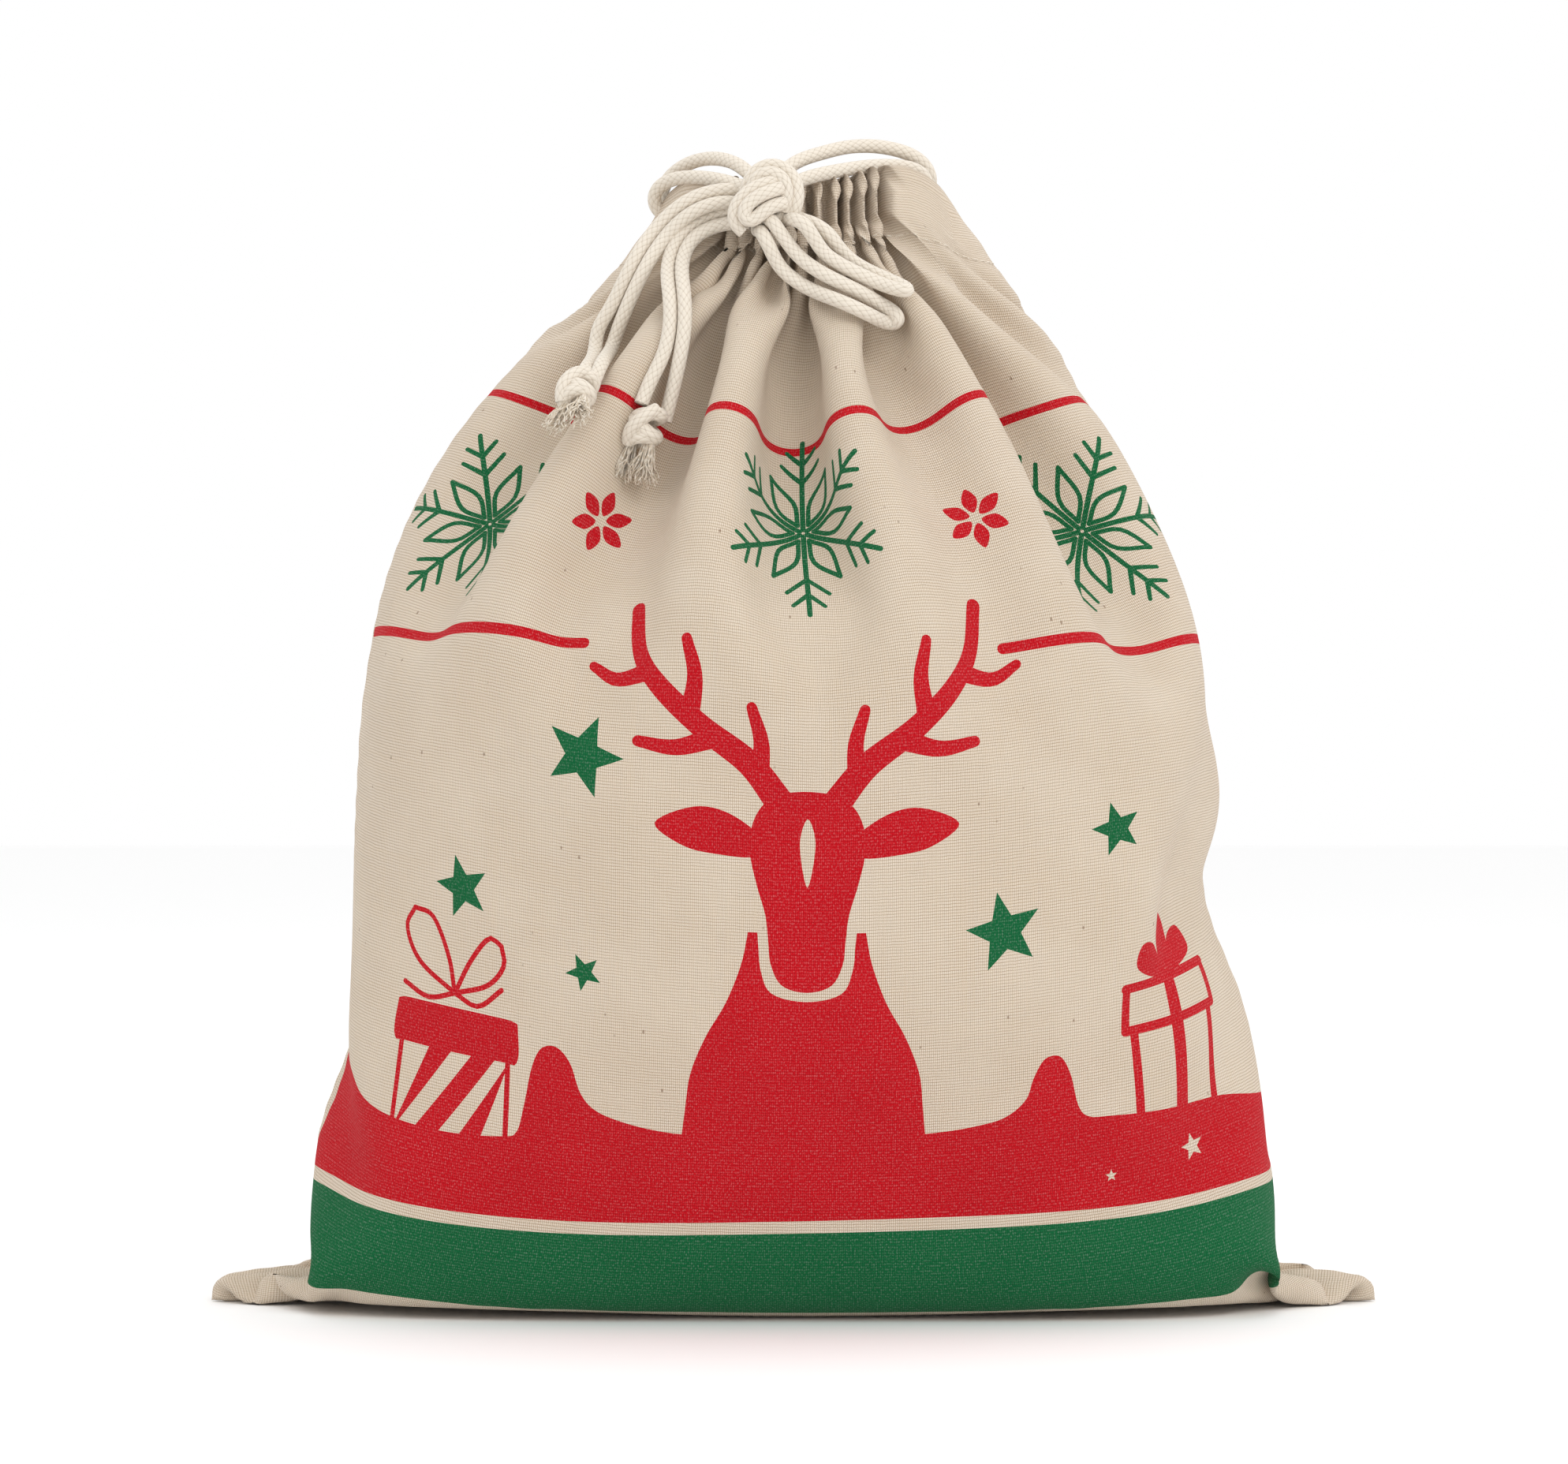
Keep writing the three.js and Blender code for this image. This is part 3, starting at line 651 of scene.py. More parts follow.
def inked(n, ink, uv, height, cloud):
    """Ink rubbed thin on the thread tops, and painted shade that darkens it between them."""
    worn = n.noise(n.stretched(uv, 1 / WARP_PITCH, 1 / WEFT_PITCH), 1.1, 1.0)
    lighter = tuple(c + 0.10 * (1 - c) for c in ink[:3]) + (1.0,)
    darker = tuple(0.6 * c for c in ink[:3]) + (1.0,)
    rubbed = n.times(n.remap(worn, 0.4, 0.75), n.remap(height, 0.35, 0.85))
    # Painted shade: the ink darkens into the gaps between the threads. The mix after it mottles it at
    # random.
    colour = n.mix(n.remap(height, 0.40, 0.10), n.mix(rubbed, ink, lighter), darker)
    return n.mix(n.times(n.remap(cloud, 0.3, 0.7), 0.14), colour, darker)


BARE = cloth_material("canvas_bare")
RED = cloth_material("canvas_red_print", RED_INK)
GREEN = cloth_material("canvas_green_print", GREEN_INK)
INKS = (BARE, RED, GREEN)
CORD_COLOUR = srgb(226, 216, 201)
# The next colour is painted shade in the grooves of the braid.
CORD_GROOVE_SHADE = srgb(200, 186, 167)
CORD_PALE = srgb(240, 234, 224)
BRAID_PITCH = 0.0030
BRAID_YARNS = 7.0  # round the cord


def cord_material():
    """Braided cotton cord, with painted shade in the grooves of the braid: UV x counts the metres along it
    and y the turns round it.
    """
    n = Nodes("braided_cotton", 0.9)
    uv = n.add("UVMap", uv_map="cloth")
    x, y = n.parts(uv)
    lay = n.math("DIVIDE", x, BRAID_PITCH)
    turns = n.times(y, BRAID_YARNS)
    leftward, rightward = n.plus(turns, lay), n.math("SUBTRACT", turns, lay)
    left, right = n.wave(leftward), n.wave(rightward)
    over = n.odd_even(n.plus(n.math("FLOOR", leftward), n.math("FLOOR", rightward)))
    plait = n.times(n.math("POWER", left, 0.55), n.math("POWER", right, 0.55))
    ridge = n.plus(n.times(over, left), n.times(n.other(over), right))
    height = n.plus(n.times(plait, 0.6), n.times(ridge, 0.4))
    fibre = n.noise(n.stretched(uv, 5200, 60), 1.0, 2.0)
    # Painted shade: the braid darkens into its grooves.
    colour = n.mix(n.remap(height, 0.0, 0.5), CORD_GROOVE_SHADE, CORD_COLOUR)
    n.link(n.mix(n.times(n.remap(fibre, 0.4, 0.75), 0.2), colour, CORD_PALE), "Base Color")
    n.shader.inputs["Sheen Weight"].default_value = 0.3
    relief_height = n.plus(height, n.times(fibre, 0.2))
    n.link(n.add("Bump", {"Strength": 0.6, "Distance": 0.0004, "Height": relief_height}), "Normal")
    return n.material


def thread_material():
    """Twisted cotton thread, and the loose fibres of the frayed cord ends."""
    n = Nodes("cotton_thread", 0.92)
    place = n.add("TexCoord", output=3)
    tone = n.noise(place, 900.0, 2.0)
    n.link(n.mix(n.remap(tone, 0.35, 0.7), srgb(205, 190, 168), srgb(238, 230, 217)), "Base Color")
    n.shader.inputs["Sheen Weight"].default_value = 0.3
    n.link(n.add("Bump", {"Strength": 0.4, "Distance": 0.0002, "Height": tone}), "Normal")
    return n.material


BRAID = cord_material()
THREAD = thread_material()


# ---------- the print ----------
# In millimetres on the flat front panel: x from its middle, v up from the bottom seam.

PRINT_EDGE = 184.0  # the bands and lines stop here, short of the side seams
BAND = (52.5, 84.5)  # foot and top of the green band
GROUND = 88.5  # foot of the red ground
OUTLINE_STEP = 2.0  # between the points of an outline, at most


def closed_curve(points, per_side=6):
    """A smooth closed outline through these points."""
    p = [tuple(q) for q in points]
    looped = np.array([p[-1]] + p + p[:2], float)
    curve = spline(looped, (len(p) + 2) * per_side + 1)
    return curve[per_side : per_side * (len(p) + 1)]


def stroke(route, width, end_width=None):
    """The outline of a drawn line with round ends. It may taper to end_width."""
    rough = spline(route, 40)
    count = max(6, int(along(rough)[-1] / OUTLINE_STEP) + 1)
    line = resample(rough, np.linspace(0, along(rough)[-1], count))
    half = np.linspace(width, end_width or width, count)[:, None] / 2
    ahead = unit(np.gradient(line, axis=0))
    side = np.stack([-ahead[:, 1], ahead[:, 0]], axis=1)
    turn = np.radians(np.linspace(60, -60, 5))[:, None]
    end_cap = line[-1] + half[-1] * (np.cos(turn) * ahead[-1] + np.sin(turn) * side[-1])
    start_cap = line[0] + half[0] * (-np.cos(turn) * ahead[0] - np.sin(turn) * side[0])
    return np.concatenate([line + half * side, end_cap, (line - half * side)[::-1], start_cap])


def polar(x, v, radius, degrees):
    turn = math.radians(degrees)
    return np.array([x + radius * math.cos(turn), v + radius * math.sin(turn)])


def star(x, v, radius, turn):
    """A five-pointed star, its first point turned from straight up by these degrees."""
    return np.array([polar(x, v, radius * (0.43 if k % 2 else 1), 90 + turn + 36 * k) for k in range(10)])


def flower(x, v, radius, turn):
    """Six leaf-shaped petals round a bare middle."""
    petals = []
    for k in range(6):
        away = turn + 60 * k
        corners = ((0.18, 0), (0.62, -22), (1, 0), (0.62, 22))
        petals.append(closed_curve([polar(x, v, share * radius, away + side) for share, side in corners]))
    return petals


FLAKE_LINE = 1.7  # its width


def snowflake(x, v, radius, turn):
    """Six branched arms, with a pointed loop between each two."""
    lines = []
    for k in range(6):
        away = turn + 60 * k
        lines.append(stroke([polar(x, v, 0.04 * radius, away), polar(x, v, radius, away)], FLAKE_LINE))
        for along_arm, reach in ((0.56, 0.27), (0.76, 0.2)):
            foot = polar(x, v, along_arm * radius, away)
            for side in (-1, 1):
                tip = polar(*foot, reach * radius, away + side * 48)
                lines.append(stroke([foot, tip], FLAKE_LINE, 1.4))
        between = away + 30
        for side in (-1, 1):
            corners = ((0.1, 0), (0.36, side * 16), (0.66, 0))
            route = [polar(x, v, share * radius, between + turned) for share, turned in corners]
            lines.append(stroke(route, 1.5))
    return lines


def mirrored(points):
    return [(-x, v) for x, v in points]


def ground():
    """The red ground with its wavy snow line, and two rounded humps beside the stag."""
    snow_line = [
        (PRINT_EDGE, 104), (162, 107), (143, 111.5), (120, 114), (99, 116), (91, 117), (87.5, 121),
        (85, 131), (81.5, 137.5), (76.5, 137.5), (73, 132), (70.5, 125), (64, 120), (55, 118),
        (44, 116.8), (30, 116.2), (0, 116), (-30, 116.2), (-42, 117), (-53, 119), (-62, 122), (-67, 127),
        (-70.5, 136), (-75, 140.5), (-80, 139.5), (-83, 133), (-85, 121), (-87, 112), (-92, 109.8),
        (-110, 108), (-130, 108.5), (-144, 111.5), (-157, 118), (-PRINT_EDGE, 125),
    ]
    top = spline(snow_line, 200)
    bottom = [
        (-PRINT_EDGE, GROUND - 10), (-112, GROUND - 5), (0, GROUND), (80, GROUND - 0.5),
        (PRINT_EDGE, GROUND - 8),
    ]
    return np.concatenate([top, spline(bottom, 120)[1:-1]])


def green_band():
    low, high = BAND
    ends = [(110, low - 0.5), (140, low - 5), (PRINT_EDGE, low - 9)]
    bottom = spline(mirrored(ends)[::-1] + [(-60, low), (60, low)] + ends, 120)
    top = [(PRINT_EDGE, high - 7.5), (85, high - 0.5), (0, high), (-110, high - 5), (-PRINT_EDGE, high - 10)]
    return np.concatenate([bottom, spline(top, 120)])


STAG_HEAD = (
    (0, 221.5), (7.5, 220.5), (13.5, 217), (17, 210.5), (17.6, 202), (15.5, 192.5), (12.8, 183.5),
    (11.8, 175.5), (11, 168.5), (7.6, 162), (0, 159.8),
)
HALO = 3.0  # bare cloth between the head and the neck behind it


def stag_head(grown=0.0):
    """The outline of a stag's head from the front, narrow at the muzzle."""
    middle = 191.0
    right = [(x + grown * min(1, x / 6), v + grown * (v - middle) / 33) for x, v in STAG_HEAD]
    return closed_curve(right + mirrored(right[1:-1])[::-1], 5)


def stag_neck():
    right = [(18, 178), (20, 168), (24.5, 156), (30.5, 145), (35, 133), (36.5, 121), (38, 106)]
    side = spline(right, 40)
    return np.concatenate([side[::-1], mirrored(side)])


def antlers():
    """Two even antlers, each a curved beam with four tines."""
    beam = [(8, 217), (18, 229), (33, 239), (46, 250), (55, 261), (60, 276)]
    tines = (
        ([(15, 226), (14.5, 236), (17.5, 246)], 6.2, 3.4),
        ([(29, 236), (41, 232.5), (53, 234)], 6.4, 3.4),
        ([(37, 242), (35.5, 254), (38.5, 265)], 6.4, 3.4),
        ([(51, 255), (62, 252.5), (70.5, 256)], 6.0, 3.0),
    )
    shapes = []
    for side in (-1, 1):
        for route, width, tip in ((beam, 9.0, 4.6),) + tines:
            shapes.append(stroke([(side * x, v) for x, v in route], width, tip))
    return shapes


def ears():
    leaf = [(14, 206.5), (24, 213.5), (35, 215), (47, 209.5), (38, 203), (27, 201), (16, 201)]
    return [closed_curve(leaf), closed_curve(mirrored(leaf)[::-1])]


def striped_gift():
    """A box with a lid, slanted stripes and a bow of two drawn loops."""
    left, right, low, lid, lid_top = -129.0, -90.5, 104.0, 133.5, 146.5
    shapes = [closed_curve([
        (left - 2.5, lid), (left - 2.5, lid_top - 3), (left - 1, lid_top - 0.5), (left + 8, lid_top),
        (right - 8, lid_top), (right + 1, lid_top - 0.5), (right + 2.5, lid_top - 3), (right + 2.5, lid),
        (right - 4, lid - 0.6), (left + 4, lid - 0.6),
    ])]
    shapes.append(stroke([(left + 0.5, lid), (left, low)], 1.7))
    shapes.append(stroke([(right - 0.5, lid), (right, low)], 1.7))
    slant = 20.0
    for foot in (left - 5, left + 10, left + 25):
        corners = [(foot - 4, low), (foot + 4, low), (foot + 4 + slant, lid), (foot - 4 + slant, lid)]
        shapes.append(np.array([(min(max(x, left), right), v) for x, v in corners]))
    knot = (-110.5, 151.0)
    for line in (
        [knot, (-113.5, 162), (-120, 173), (-127.5, 174.5)],
        [(-127.5, 174.5), (-130.5, 168), (-124.5, 158.5), knot],
        [knot, (-105.5, 161.5), (-99, 170), (-94.5, 168.5)],
        [(-94.5, 168.5), (-93.5, 162.5), (-99, 155.5), knot],
        [knot, (-120, 148), (-129.5, 151)],
        [knot, (-102, 148.5), (-94, 155)],
    ):
        shapes.append(stroke(line, 1.6))
    return shapes


def tied_gift():
    """A box drawn in outline, with an upright ribbon and a bow of filled loops."""
    left, right, low, lid_low, lid_high = 107.0, 141.0, 106.0, 141.5, 155.0
    wide = 3.2  # the lid stands out by this much
    middle = 124.0
    shapes = []
    for route in (
        [(left - wide, lid_low), (right + wide, lid_low)],
        [(left - wide, lid_high), (right + wide, lid_high)],
        [(left - wide, lid_low), (left - wide + 0.6, lid_high)],
        [(right + wide, lid_low), (right + wide - 0.6, lid_high)],
        [(left, lid_low), (left + 2, low)],
        [(right, lid_low), (right - 1, low)],
    ):
        shapes.append(stroke(route, 3.0))
    shapes.append(stroke([(middle, lid_high), (middle + 1, low)], 5.0))
    base = lid_high + 1
    for loop in (
        [(0, 0), (-7, 10.5), (-14, 12), (-16, 5.5), (-9, 1)],
        [(0, 0), (9, 1), (17, 4.5), (16, 12), (7, 10)],
        [(-1, 2), (-5, 12), (0, 19), (7, 15), (4, 4)],
    ):
        shapes.append(closed_curve([(middle + x, base + v) for x, v in loop]))
    return shapes


STAG_SHIFT = np.array([2.0, 3.5])  # from where its parts are drawn to where it stands
# Drawn lines: route and width.
LINES = (
    ([(-PRINT_EDGE, 257), (-120, 262), (-73, 266.5)], 3.4),
    ([(69, 265), (115, 263), (PRINT_EDGE, 258)], 3.4),
    ([(-182, 347), (-90, 345), (0, 345), (90, 346), (182, 348)], 2.8),
)
SNOWFLAKES = ((-150, 304, 6), (4, 315, 90), (142, 306, -6))  # middle and turn in degrees
FLOWERS = ((-83, 308), (71, 308))
# Middle, radius and turn in degrees.
STARS = (
    (-68, 231.5, 13, -17), (-109, 184, 10, 17), (-67, 165, 6, 28), (63.5, 178.5, 12.5, 10),
    (101, 205, 8.5, 12),
)


def print_shapes():
    """Every printed shape as (ink, outline), each over those before it."""
    bare, red, green = range(3)
    blaze = closed_curve([(0, 213), (2.4, 205), (0, 192), (-2.4, 205)])
    stag = [(red, stag_neck()), (bare, stag_head(HALO)), (red, stag_head())]
    stag += [(red, s) for s in antlers() + ears()] + [(bare, blaze)]
    shapes = [(red, ground()), (green, green_band())]
    shapes += [(ink, outline + STAG_SHIFT) for ink, outline in stag]
    shapes += [(red, s) for s in striped_gift() + tied_gift()]
    shapes += [(red, stroke(route, width)) for route, width in LINES]
    for x, v, turn in SNOWFLAKES:
        shapes += [(green, s) for s in snowflake(x, v, 33, turn)]
    for x, v in FLOWERS:
        shapes += [(red, s) for s in flower(x, v, 10.5, 90)]
    shapes += [(green, star(*place)) for place in STARS]
    shapes += [(bare, star(128, 99.5, 4.4, 8)), (bare, star(98, 97, 2, 0))]
    return shapes


# ---------- the two panels ----------

GRID_STEP = 0.0021  # between the points of a panel
SEAM_SUNK = 0.0009
STITCHES_SUNK = 0.0002
PUCKER = 0.00012
PUCKER_PITCH = 0.0105
CLEAR_OF_OUTLINE = 0.42  # of GRID_STEP, from a point of the panel to an outline of the print


def relief(share, v):
    """Small height over the settled cloth: sunk side seams with their puckers, and sunk casing stitches."""
    from_seam = np.abs((share + 0.5) % 1 - 0.5) * PANEL_WIDTH
    groove = SEAM_SUNK * bump(from_seam, 0, 0.0014)
    ripple = np.sin(2 * math.pi * v / PUCKER_PITCH + 2 * np.sin(67 * v)) * bump(from_seam, 0.004, 0.006)
    stitched = STITCHES_SUNK * bump(v, STITCH_LINE, 0.0017)
    return PUCKER * ripple - groove - stitched


SACK_ACROSS = np.roll(SACK, -1, axis=1) - np.roll(SACK, 1, axis=1)
SACK_NORMALS = unit_or_none(np.cross(SACK_ACROSS, np.gradient(SACK, axis=0)))


def cloth(share, v):
    """Points of the finished cloth surface."""
    share, v = np.asarray(share, float), np.asarray(v, float)
    return sample(SACK, share, v) + sample(SACK_NORMALS, share, v) * relief(share, v)[..., None]


def cloth_normals(share, v):
    step = 0.0007
    across = cloth(share + step / PANEL_WIDTH, v) - cloth(share - step / PANEL_WIDTH, v)
    return unit_or_none(np.cross(across, cloth(share, v + step) - cloth(share, v - step)))


def panel_rows():
    """Heights of a panel's points, closer together along its edges."""
    low = np.array([0, 0.0006, 0.0015])
    high = STITCH_LINE - np.array([0.003, 0.002, 0.001, 0])
    return np.concatenate([low, np.arange(0.003, high[0] - 0.001, GRID_STEP), high])


def panel_columns():
    """Shares of a panel's width at which its points lie, closer together along its sides."""
    edge = np.array([0, 0.0008, 0.0016, 0.0026, 0.0038])
    inner = np.arange(edge[-1] + GRID_STEP, PANEL_WIDTH - edge[-1] - GRID_STEP / 2, GRID_STEP)
    return np.concatenate([edge, inner, PANEL_WIDTH - edge[::-1]]) / PANEL_WIDTH


def panel_uvs(share, v):
    return np.stack([share * PANEL_WIDTH, v], axis=-1).reshape(-1, 2)


def plain_panel(name, start):
    """An unprinted panel, from share start to start + 1."""
    share, v = np.meshgrid(start + panel_columns(), panel_rows())
    points, normals = cloth(share, v).reshape(-1, 3), cloth_normals(share, v).reshape(-1, 3)
    return mesh_object(name, points, quads(*share.shape), normals, panel_uvs(share, v), [BARE])


def printed_panel(name):
    """The front panel, its mesh cut along the outlines of the print."""
    share, v = (a.ravel() for a in np.meshgrid(panel_columns(), panel_rows()))
    flat = np.stack([(share - 0.5) * PANEL_WIDTH, v], axis=1) * 1000
    shapes = print_shapes()
    outlines = [subdivided(outline) for _, outline in shapes]
    crowded = near_any(np.concatenate(outlines), flat, CLEAR_OF_OUTLINE * GRID_STEP * 1000)
    on_border = (share == 0) | (share == 1) | (v == 0) | (v == STITCH_LINE)
    flat = flat[~crowded | on_border]
    points = np.concatenate([flat] + outlines)
    loops, first = [], len(flat)
    for outline in outlines:
        loops.append(list(range(first, first + len(outline))))
        first += len(outline)
    made, _, faces, _, _, parents = delaunay_2d_cdt([Vector(p) for p in points], [], loops, 0, 1e-4)
    ink = np.array([shapes[max(p)][0] if p else 0 for p in parents])
    made = np.array(made) / 1000
    share, v = made[:, 0] / PANEL_WIDTH + 0.5, made[:, 1]
    uvs = panel_uvs(share, v)
    return mesh_object(name, cloth(share, v), faces, cloth_normals(share, v), uvs, INKS, ink)


def subdivided(outline):
    """A closed outline, anticlockwise, with points no further apart than OUTLINE_STEP."""
    following = np.roll(outline, -1, axis=0)
    area = np.sum(outline[:, 0] * following[:, 1] - following[:, 0] * outline[:, 1])
    if area < 0:
        outline = outline[::-1]
        following = np.roll(outline, -1, axis=0)
    points = []
    for a, b in zip(outline, following):
        parts = max(1, math.ceil(np.linalg.norm(b - a) / OUTLINE_STEP))
        points += [a + (b - a) * k / parts for k in range(parts)]
    return np.array(points)


def near_any(outline, points, reach):
    """True for each of points that lies within reach of a point of the outlines."""
    tree = KDTree(len(outline))
    for i, p in enumerate(outline):
        tree.insert((p[0], p[1], 0), i)
    tree.balance()
    return np.array([tree.find((p[0], p[1], 0))[2] < reach for p in points])


front_panel = printed_panel("front_panel_printed")
back_panel = plain_panel("back_panel_plain", 1)


# ---------- the casing, seams and stitches ----------

EXIT_GAP = 0.0040 / PANEL_WIDTH  # each casing stops this far from the side seam, as a share of the panel
OPENING = 0.0055  # half depth of the mouth inside the casing
OPENING_REACH = 0.020  # half length of its straight sides
CASING_COLUMNS = 420
TURNED_ROWS = 20  # over the turned edge and down inside
TURN_REACH = 0.0042  # how far the turned edge follows the outside before it comes round
TURN_RISE = 0.0012


def opening_point(x, y, radius):
    """The point of the oval round the mouth's middle line at this radius that faces (x, y)."""
    middle = np.clip(0.55 * x, -OPENING_REACH, OPENING_REACH)
    away = unit(np.stack([x - middle, y], axis=-1))
    return np.stack([middle, np.zeros_like(middle)], axis=-1) + radius * away


def casing(name, start):
    """The hem from the stitch line over its turned edge and down inside, round the tunnel for the cords."""
    share = np.linspace(start + EXIT_GAP, start + 1 - EXIT_GAP, CASING_COLUMNS)
    rising = np.linspace(STITCH_LINE + 0.0035, PANEL_HEIGHT, 12)
    outer_v = np.concatenate([STITCH_LINE + np.array([0, 0.001, 0.002]), rising])
    outer = np.stack([cloth(share, np.full_like(share, v)) for v in outer_v])
    edge = outer[-1]
    inside = opening_point(edge[:, 0], edge[:, 1], OPENING)
    stitched = np.column_stack([inside, edge[:, 2] - CASING])
    shoulder = np.column_stack([edge[:, :2] + 0.75 * (inside - edge[:, :2]), edge[:, 2] + TURN_RISE])
    control = edge + TURN_REACH * unit(outer[-1] - outer[-2])
    t = np.linspace(0, 1, TURNED_ROWS)[1:, None, None]
    turned = (1 - t) ** 3 * edge + 3 * t * (1 - t) ** 2 * control
    turned = turned + 3 * t**2 * (1 - t) * shoulder + t**3 * stitched
    points = np.concatenate([outer, turned])
    normals = unit_or_none(np.cross(np.gradient(points, axis=1), np.gradient(points, axis=0)))
    v = np.concatenate([outer_v, PANEL_HEIGHT + np.linspace(0, CASING, TURNED_ROWS)[1:]])
    grid_share, grid_v = np.meshgrid(share, v)
    faces, uvs = quads(*grid_share.shape), panel_uvs(grid_share, grid_v)
    return mesh_object(name, points.reshape(-1, 3), faces, normals.reshape(-1, 3), uvs, [BARE])


STITCH_LENGTH = 0.0028
STITCH_PITCH = 0.0040
STITCH_THREAD = 0.00032


def casing_stitches(name, start):
    """One row of short stitches along the foot of the casing."""
    v = np.full(6, STITCH_LINE + 0.0009)
    arch = STITCH_THREAD * np.array([0.0, 0.5, 0.7, 0.7, 0.5, 0.0])[:, None]
    lines = []
    for k in range(int(PANEL_WIDTH * (1 - 2 * EXIT_GAP) / STITCH_PITCH)):
        middle = start + EXIT_GAP + (k + 0.5) * STITCH_PITCH / PANEL_WIDTH
        share = middle + np.linspace(-0.5, 0.5, 6) * STITCH_LENGTH / PANEL_WIDTH
        lines.append(cloth(share, v) + cloth_normals(share, v) * arch)
    return ropes(name, lines, STITCH_THREAD, THREAD, 6)


ALLOWANCE = 0.008  # of cloth inside a seam


def seam_strip(name, seam, inward):
    """The two sewn edges inside a seam, as one thin closed strip along it."""
    out = seam + inward * 0.0008
    deep = seam + inward * ALLOWANCE
    side = unit(np.cross(inward, np.gradient(seam, axis=0)))
    ring = [out + side * CLOTH, deep + side * CLOTH, deep - side * CLOTH, out - side * CLOTH]
    points = np.stack(ring, axis=1).reshape(-1, 3)
    uvs = np.stack([np.repeat(along(seam), 4), np.tile([0, ALLOWANCE, ALLOWANCE, 0], len(seam))], axis=1)
    return mesh_object(name, points, quads(len(seam), 4, wrap=True), uvs=uvs, materials=[BARE])


def side_seam(name, share):
    v = np.linspace(0.055, STITCH_LINE - 0.002, 90)
    seam = cloth(np.full(90, float(share)), v)
    return seam_strip(name, seam, -cloth_normals(np.full(90, float(share)), v))


def bottom_seam_strip(name):
    x = np.linspace(-0.130, 0.130, 40)
    seam = np.column_stack([x, np.zeros(40), np.full(40, CLOTH)])
    return seam_strip(name, seam, np.tile([0.0, 0.0, 1.0], (40, 1)))


# ---------- cords ----------

def rope_shape(points, diameter, sides, swell=1.0):
    """Points, faces, normals and UVs (metres along, turns round) of a round rope, closed at its ends."""
    points = np.asarray(points, float)
    ahead = unit(np.gradient(points, axis=0))
    side = np.zeros_like(points)
    side[0] = unit(np.cross(ahead[0], (0.0, 0.0, 1.0) if abs(ahead[0][2]) < 0.9 else (1.0, 0.0, 0.0)))
    for i in range(1, len(points)):
        side[i] = unit(side[i - 1] - ahead[i] * (side[i - 1] @ ahead[i]))
    other = np.cross(ahead, side)
    turn = np.linspace(0, 2 * math.pi, sides + 1)
    outward = side[:, None] * np.cos(turn)[:, None] + other[:, None] * np.sin(turn)[:, None]
    radius = diameter / 2 * swell * np.ones(len(points))
    tube = points[:, None] + outward * radius[:, None, None]
    vertices = np.concatenate([tube.reshape(-1, 3), points[:1], points[-1:]])
    faces = quads(len(points), sides + 1).tolist()
    start, end = len(vertices) - 2, len(vertices) - 1
    last = (len(points) - 1) * (sides + 1)
    faces += [(start, k + 1, k) for k in range(sides)]
    faces += [(end, last + k, last + k + 1) for k in range(sides)]
    normals = np.concatenate([outward.reshape(-1, 3), -ahead[:1], ahead[-1:]])
    length = along(points)
    uv = np.stack(np.meshgrid(length, turn / (2 * math.pi), indexing="ij"), axis=-1).reshape(-1, 2)
    uvs = np.concatenate([uv, [(0, 0.5), (length[-1], 0.5)]])
    return vertices, faces, normals, uvs


def ropes(name, lines, diameter=CORD, material=BRAID, sides=14, swell=1.0):
    """One or more ropes as one piece. Only the braid needs its length and turns on the mesh."""
    points, faces, normals, uvs = [], [], [], []
    for line in lines:
        new_points, new_faces, new_normals, new_uvs = rope_shape(line, diameter, sides, swell)
        faces += [[i + len(points) for i in face] for face in new_faces]
        points += new_points.tolist()
        normals += new_normals.tolist()
        uvs += new_uvs.tolist()
    if material is THREAD:
        return mesh_object(name, points, faces, materials=[THREAD])
    return mesh_object(name, points, faces, normals, uvs, [material])


ROUTE_STEP = 0.0012  # between the points of a free cord
KNOT_STEP = 0.0009  # and of a cord in a knot


def smooth_route(points, step=ROUTE_STEP):
    """A dense, evenly spaced and rounded line through a route in metres."""
    dense = spline(points, 12 * len(points))
    even = resample(dense, np.arange(0, along(dense)[-1], step))
    for _ in range(10):
        even[1:-1] += 0.25 * (even[:-2] - 2 * even[1:-1] + even[2:])
    return even


def tree_of(*objects):
    """A search tree over the faces of these meshes."""
    points, faces = [], []
    for piece in objects:
        first = len(points)
        points += [v.co.copy() for v in piece.data.vertices]
        faces += [[first + i for i in p.vertices] for p in piece.data.polygons]
    return BVHTree.FromPolygons(points, faces)


front_casing = casing("front_casing_hem", 0)
back_casing = casing("back_casing_hem", 1)
pieces = {
    "front_panel": front_panel,
    "back_panel": back_panel,
    "front_casing": front_casing,
    "back_casing": back_casing,
    "front_casing_stitch": casing_stitches("front_casing_stitches", 0),
    "back_casing_stitch": casing_stitches("back_casing_stitches", 1),
    "left_side_seam": side_seam("left_seam_allowance", 0),
    "right_side_seam": side_seam("right_seam_allowance", 1),
    "bottom_seam": bottom_seam_strip("bottom_seam_allowance"),
}
CLOTH_TREE = tree_of(front_panel, back_panel, front_casing, back_casing)
TOUCH = CORD / 2 + 0.0003  # from a cord's middle to the cloth that it lies on
DEEPEST = 0.012  # a cord is lifted out of the cloth from no deeper than this
FELT_ROUND = 0.004  # a cord rests on the highest fold within this reach
AT_KNOT = 6  # points of a cord that the bow knot holds
LOWERED = 0.0004  # the cords are pressed this far into the cloth


def smooth_normal(x, z):
    """Outward normal of the smooth front at (x, z)."""

    def front(px, pz):
        a, b, _ = girth(pz)
        return -b * math.sqrt(max(0.02, 1 - (px / a) ** 2))

    step = 0.0005
    slope_x = (front(x + step, z) - front(x - step, z)) / (2 * step)
    slope_z = (front(x, z + step) - front(x, z - step)) / (2 * step)
    return unit([slope_x, -1.0, slope_z])


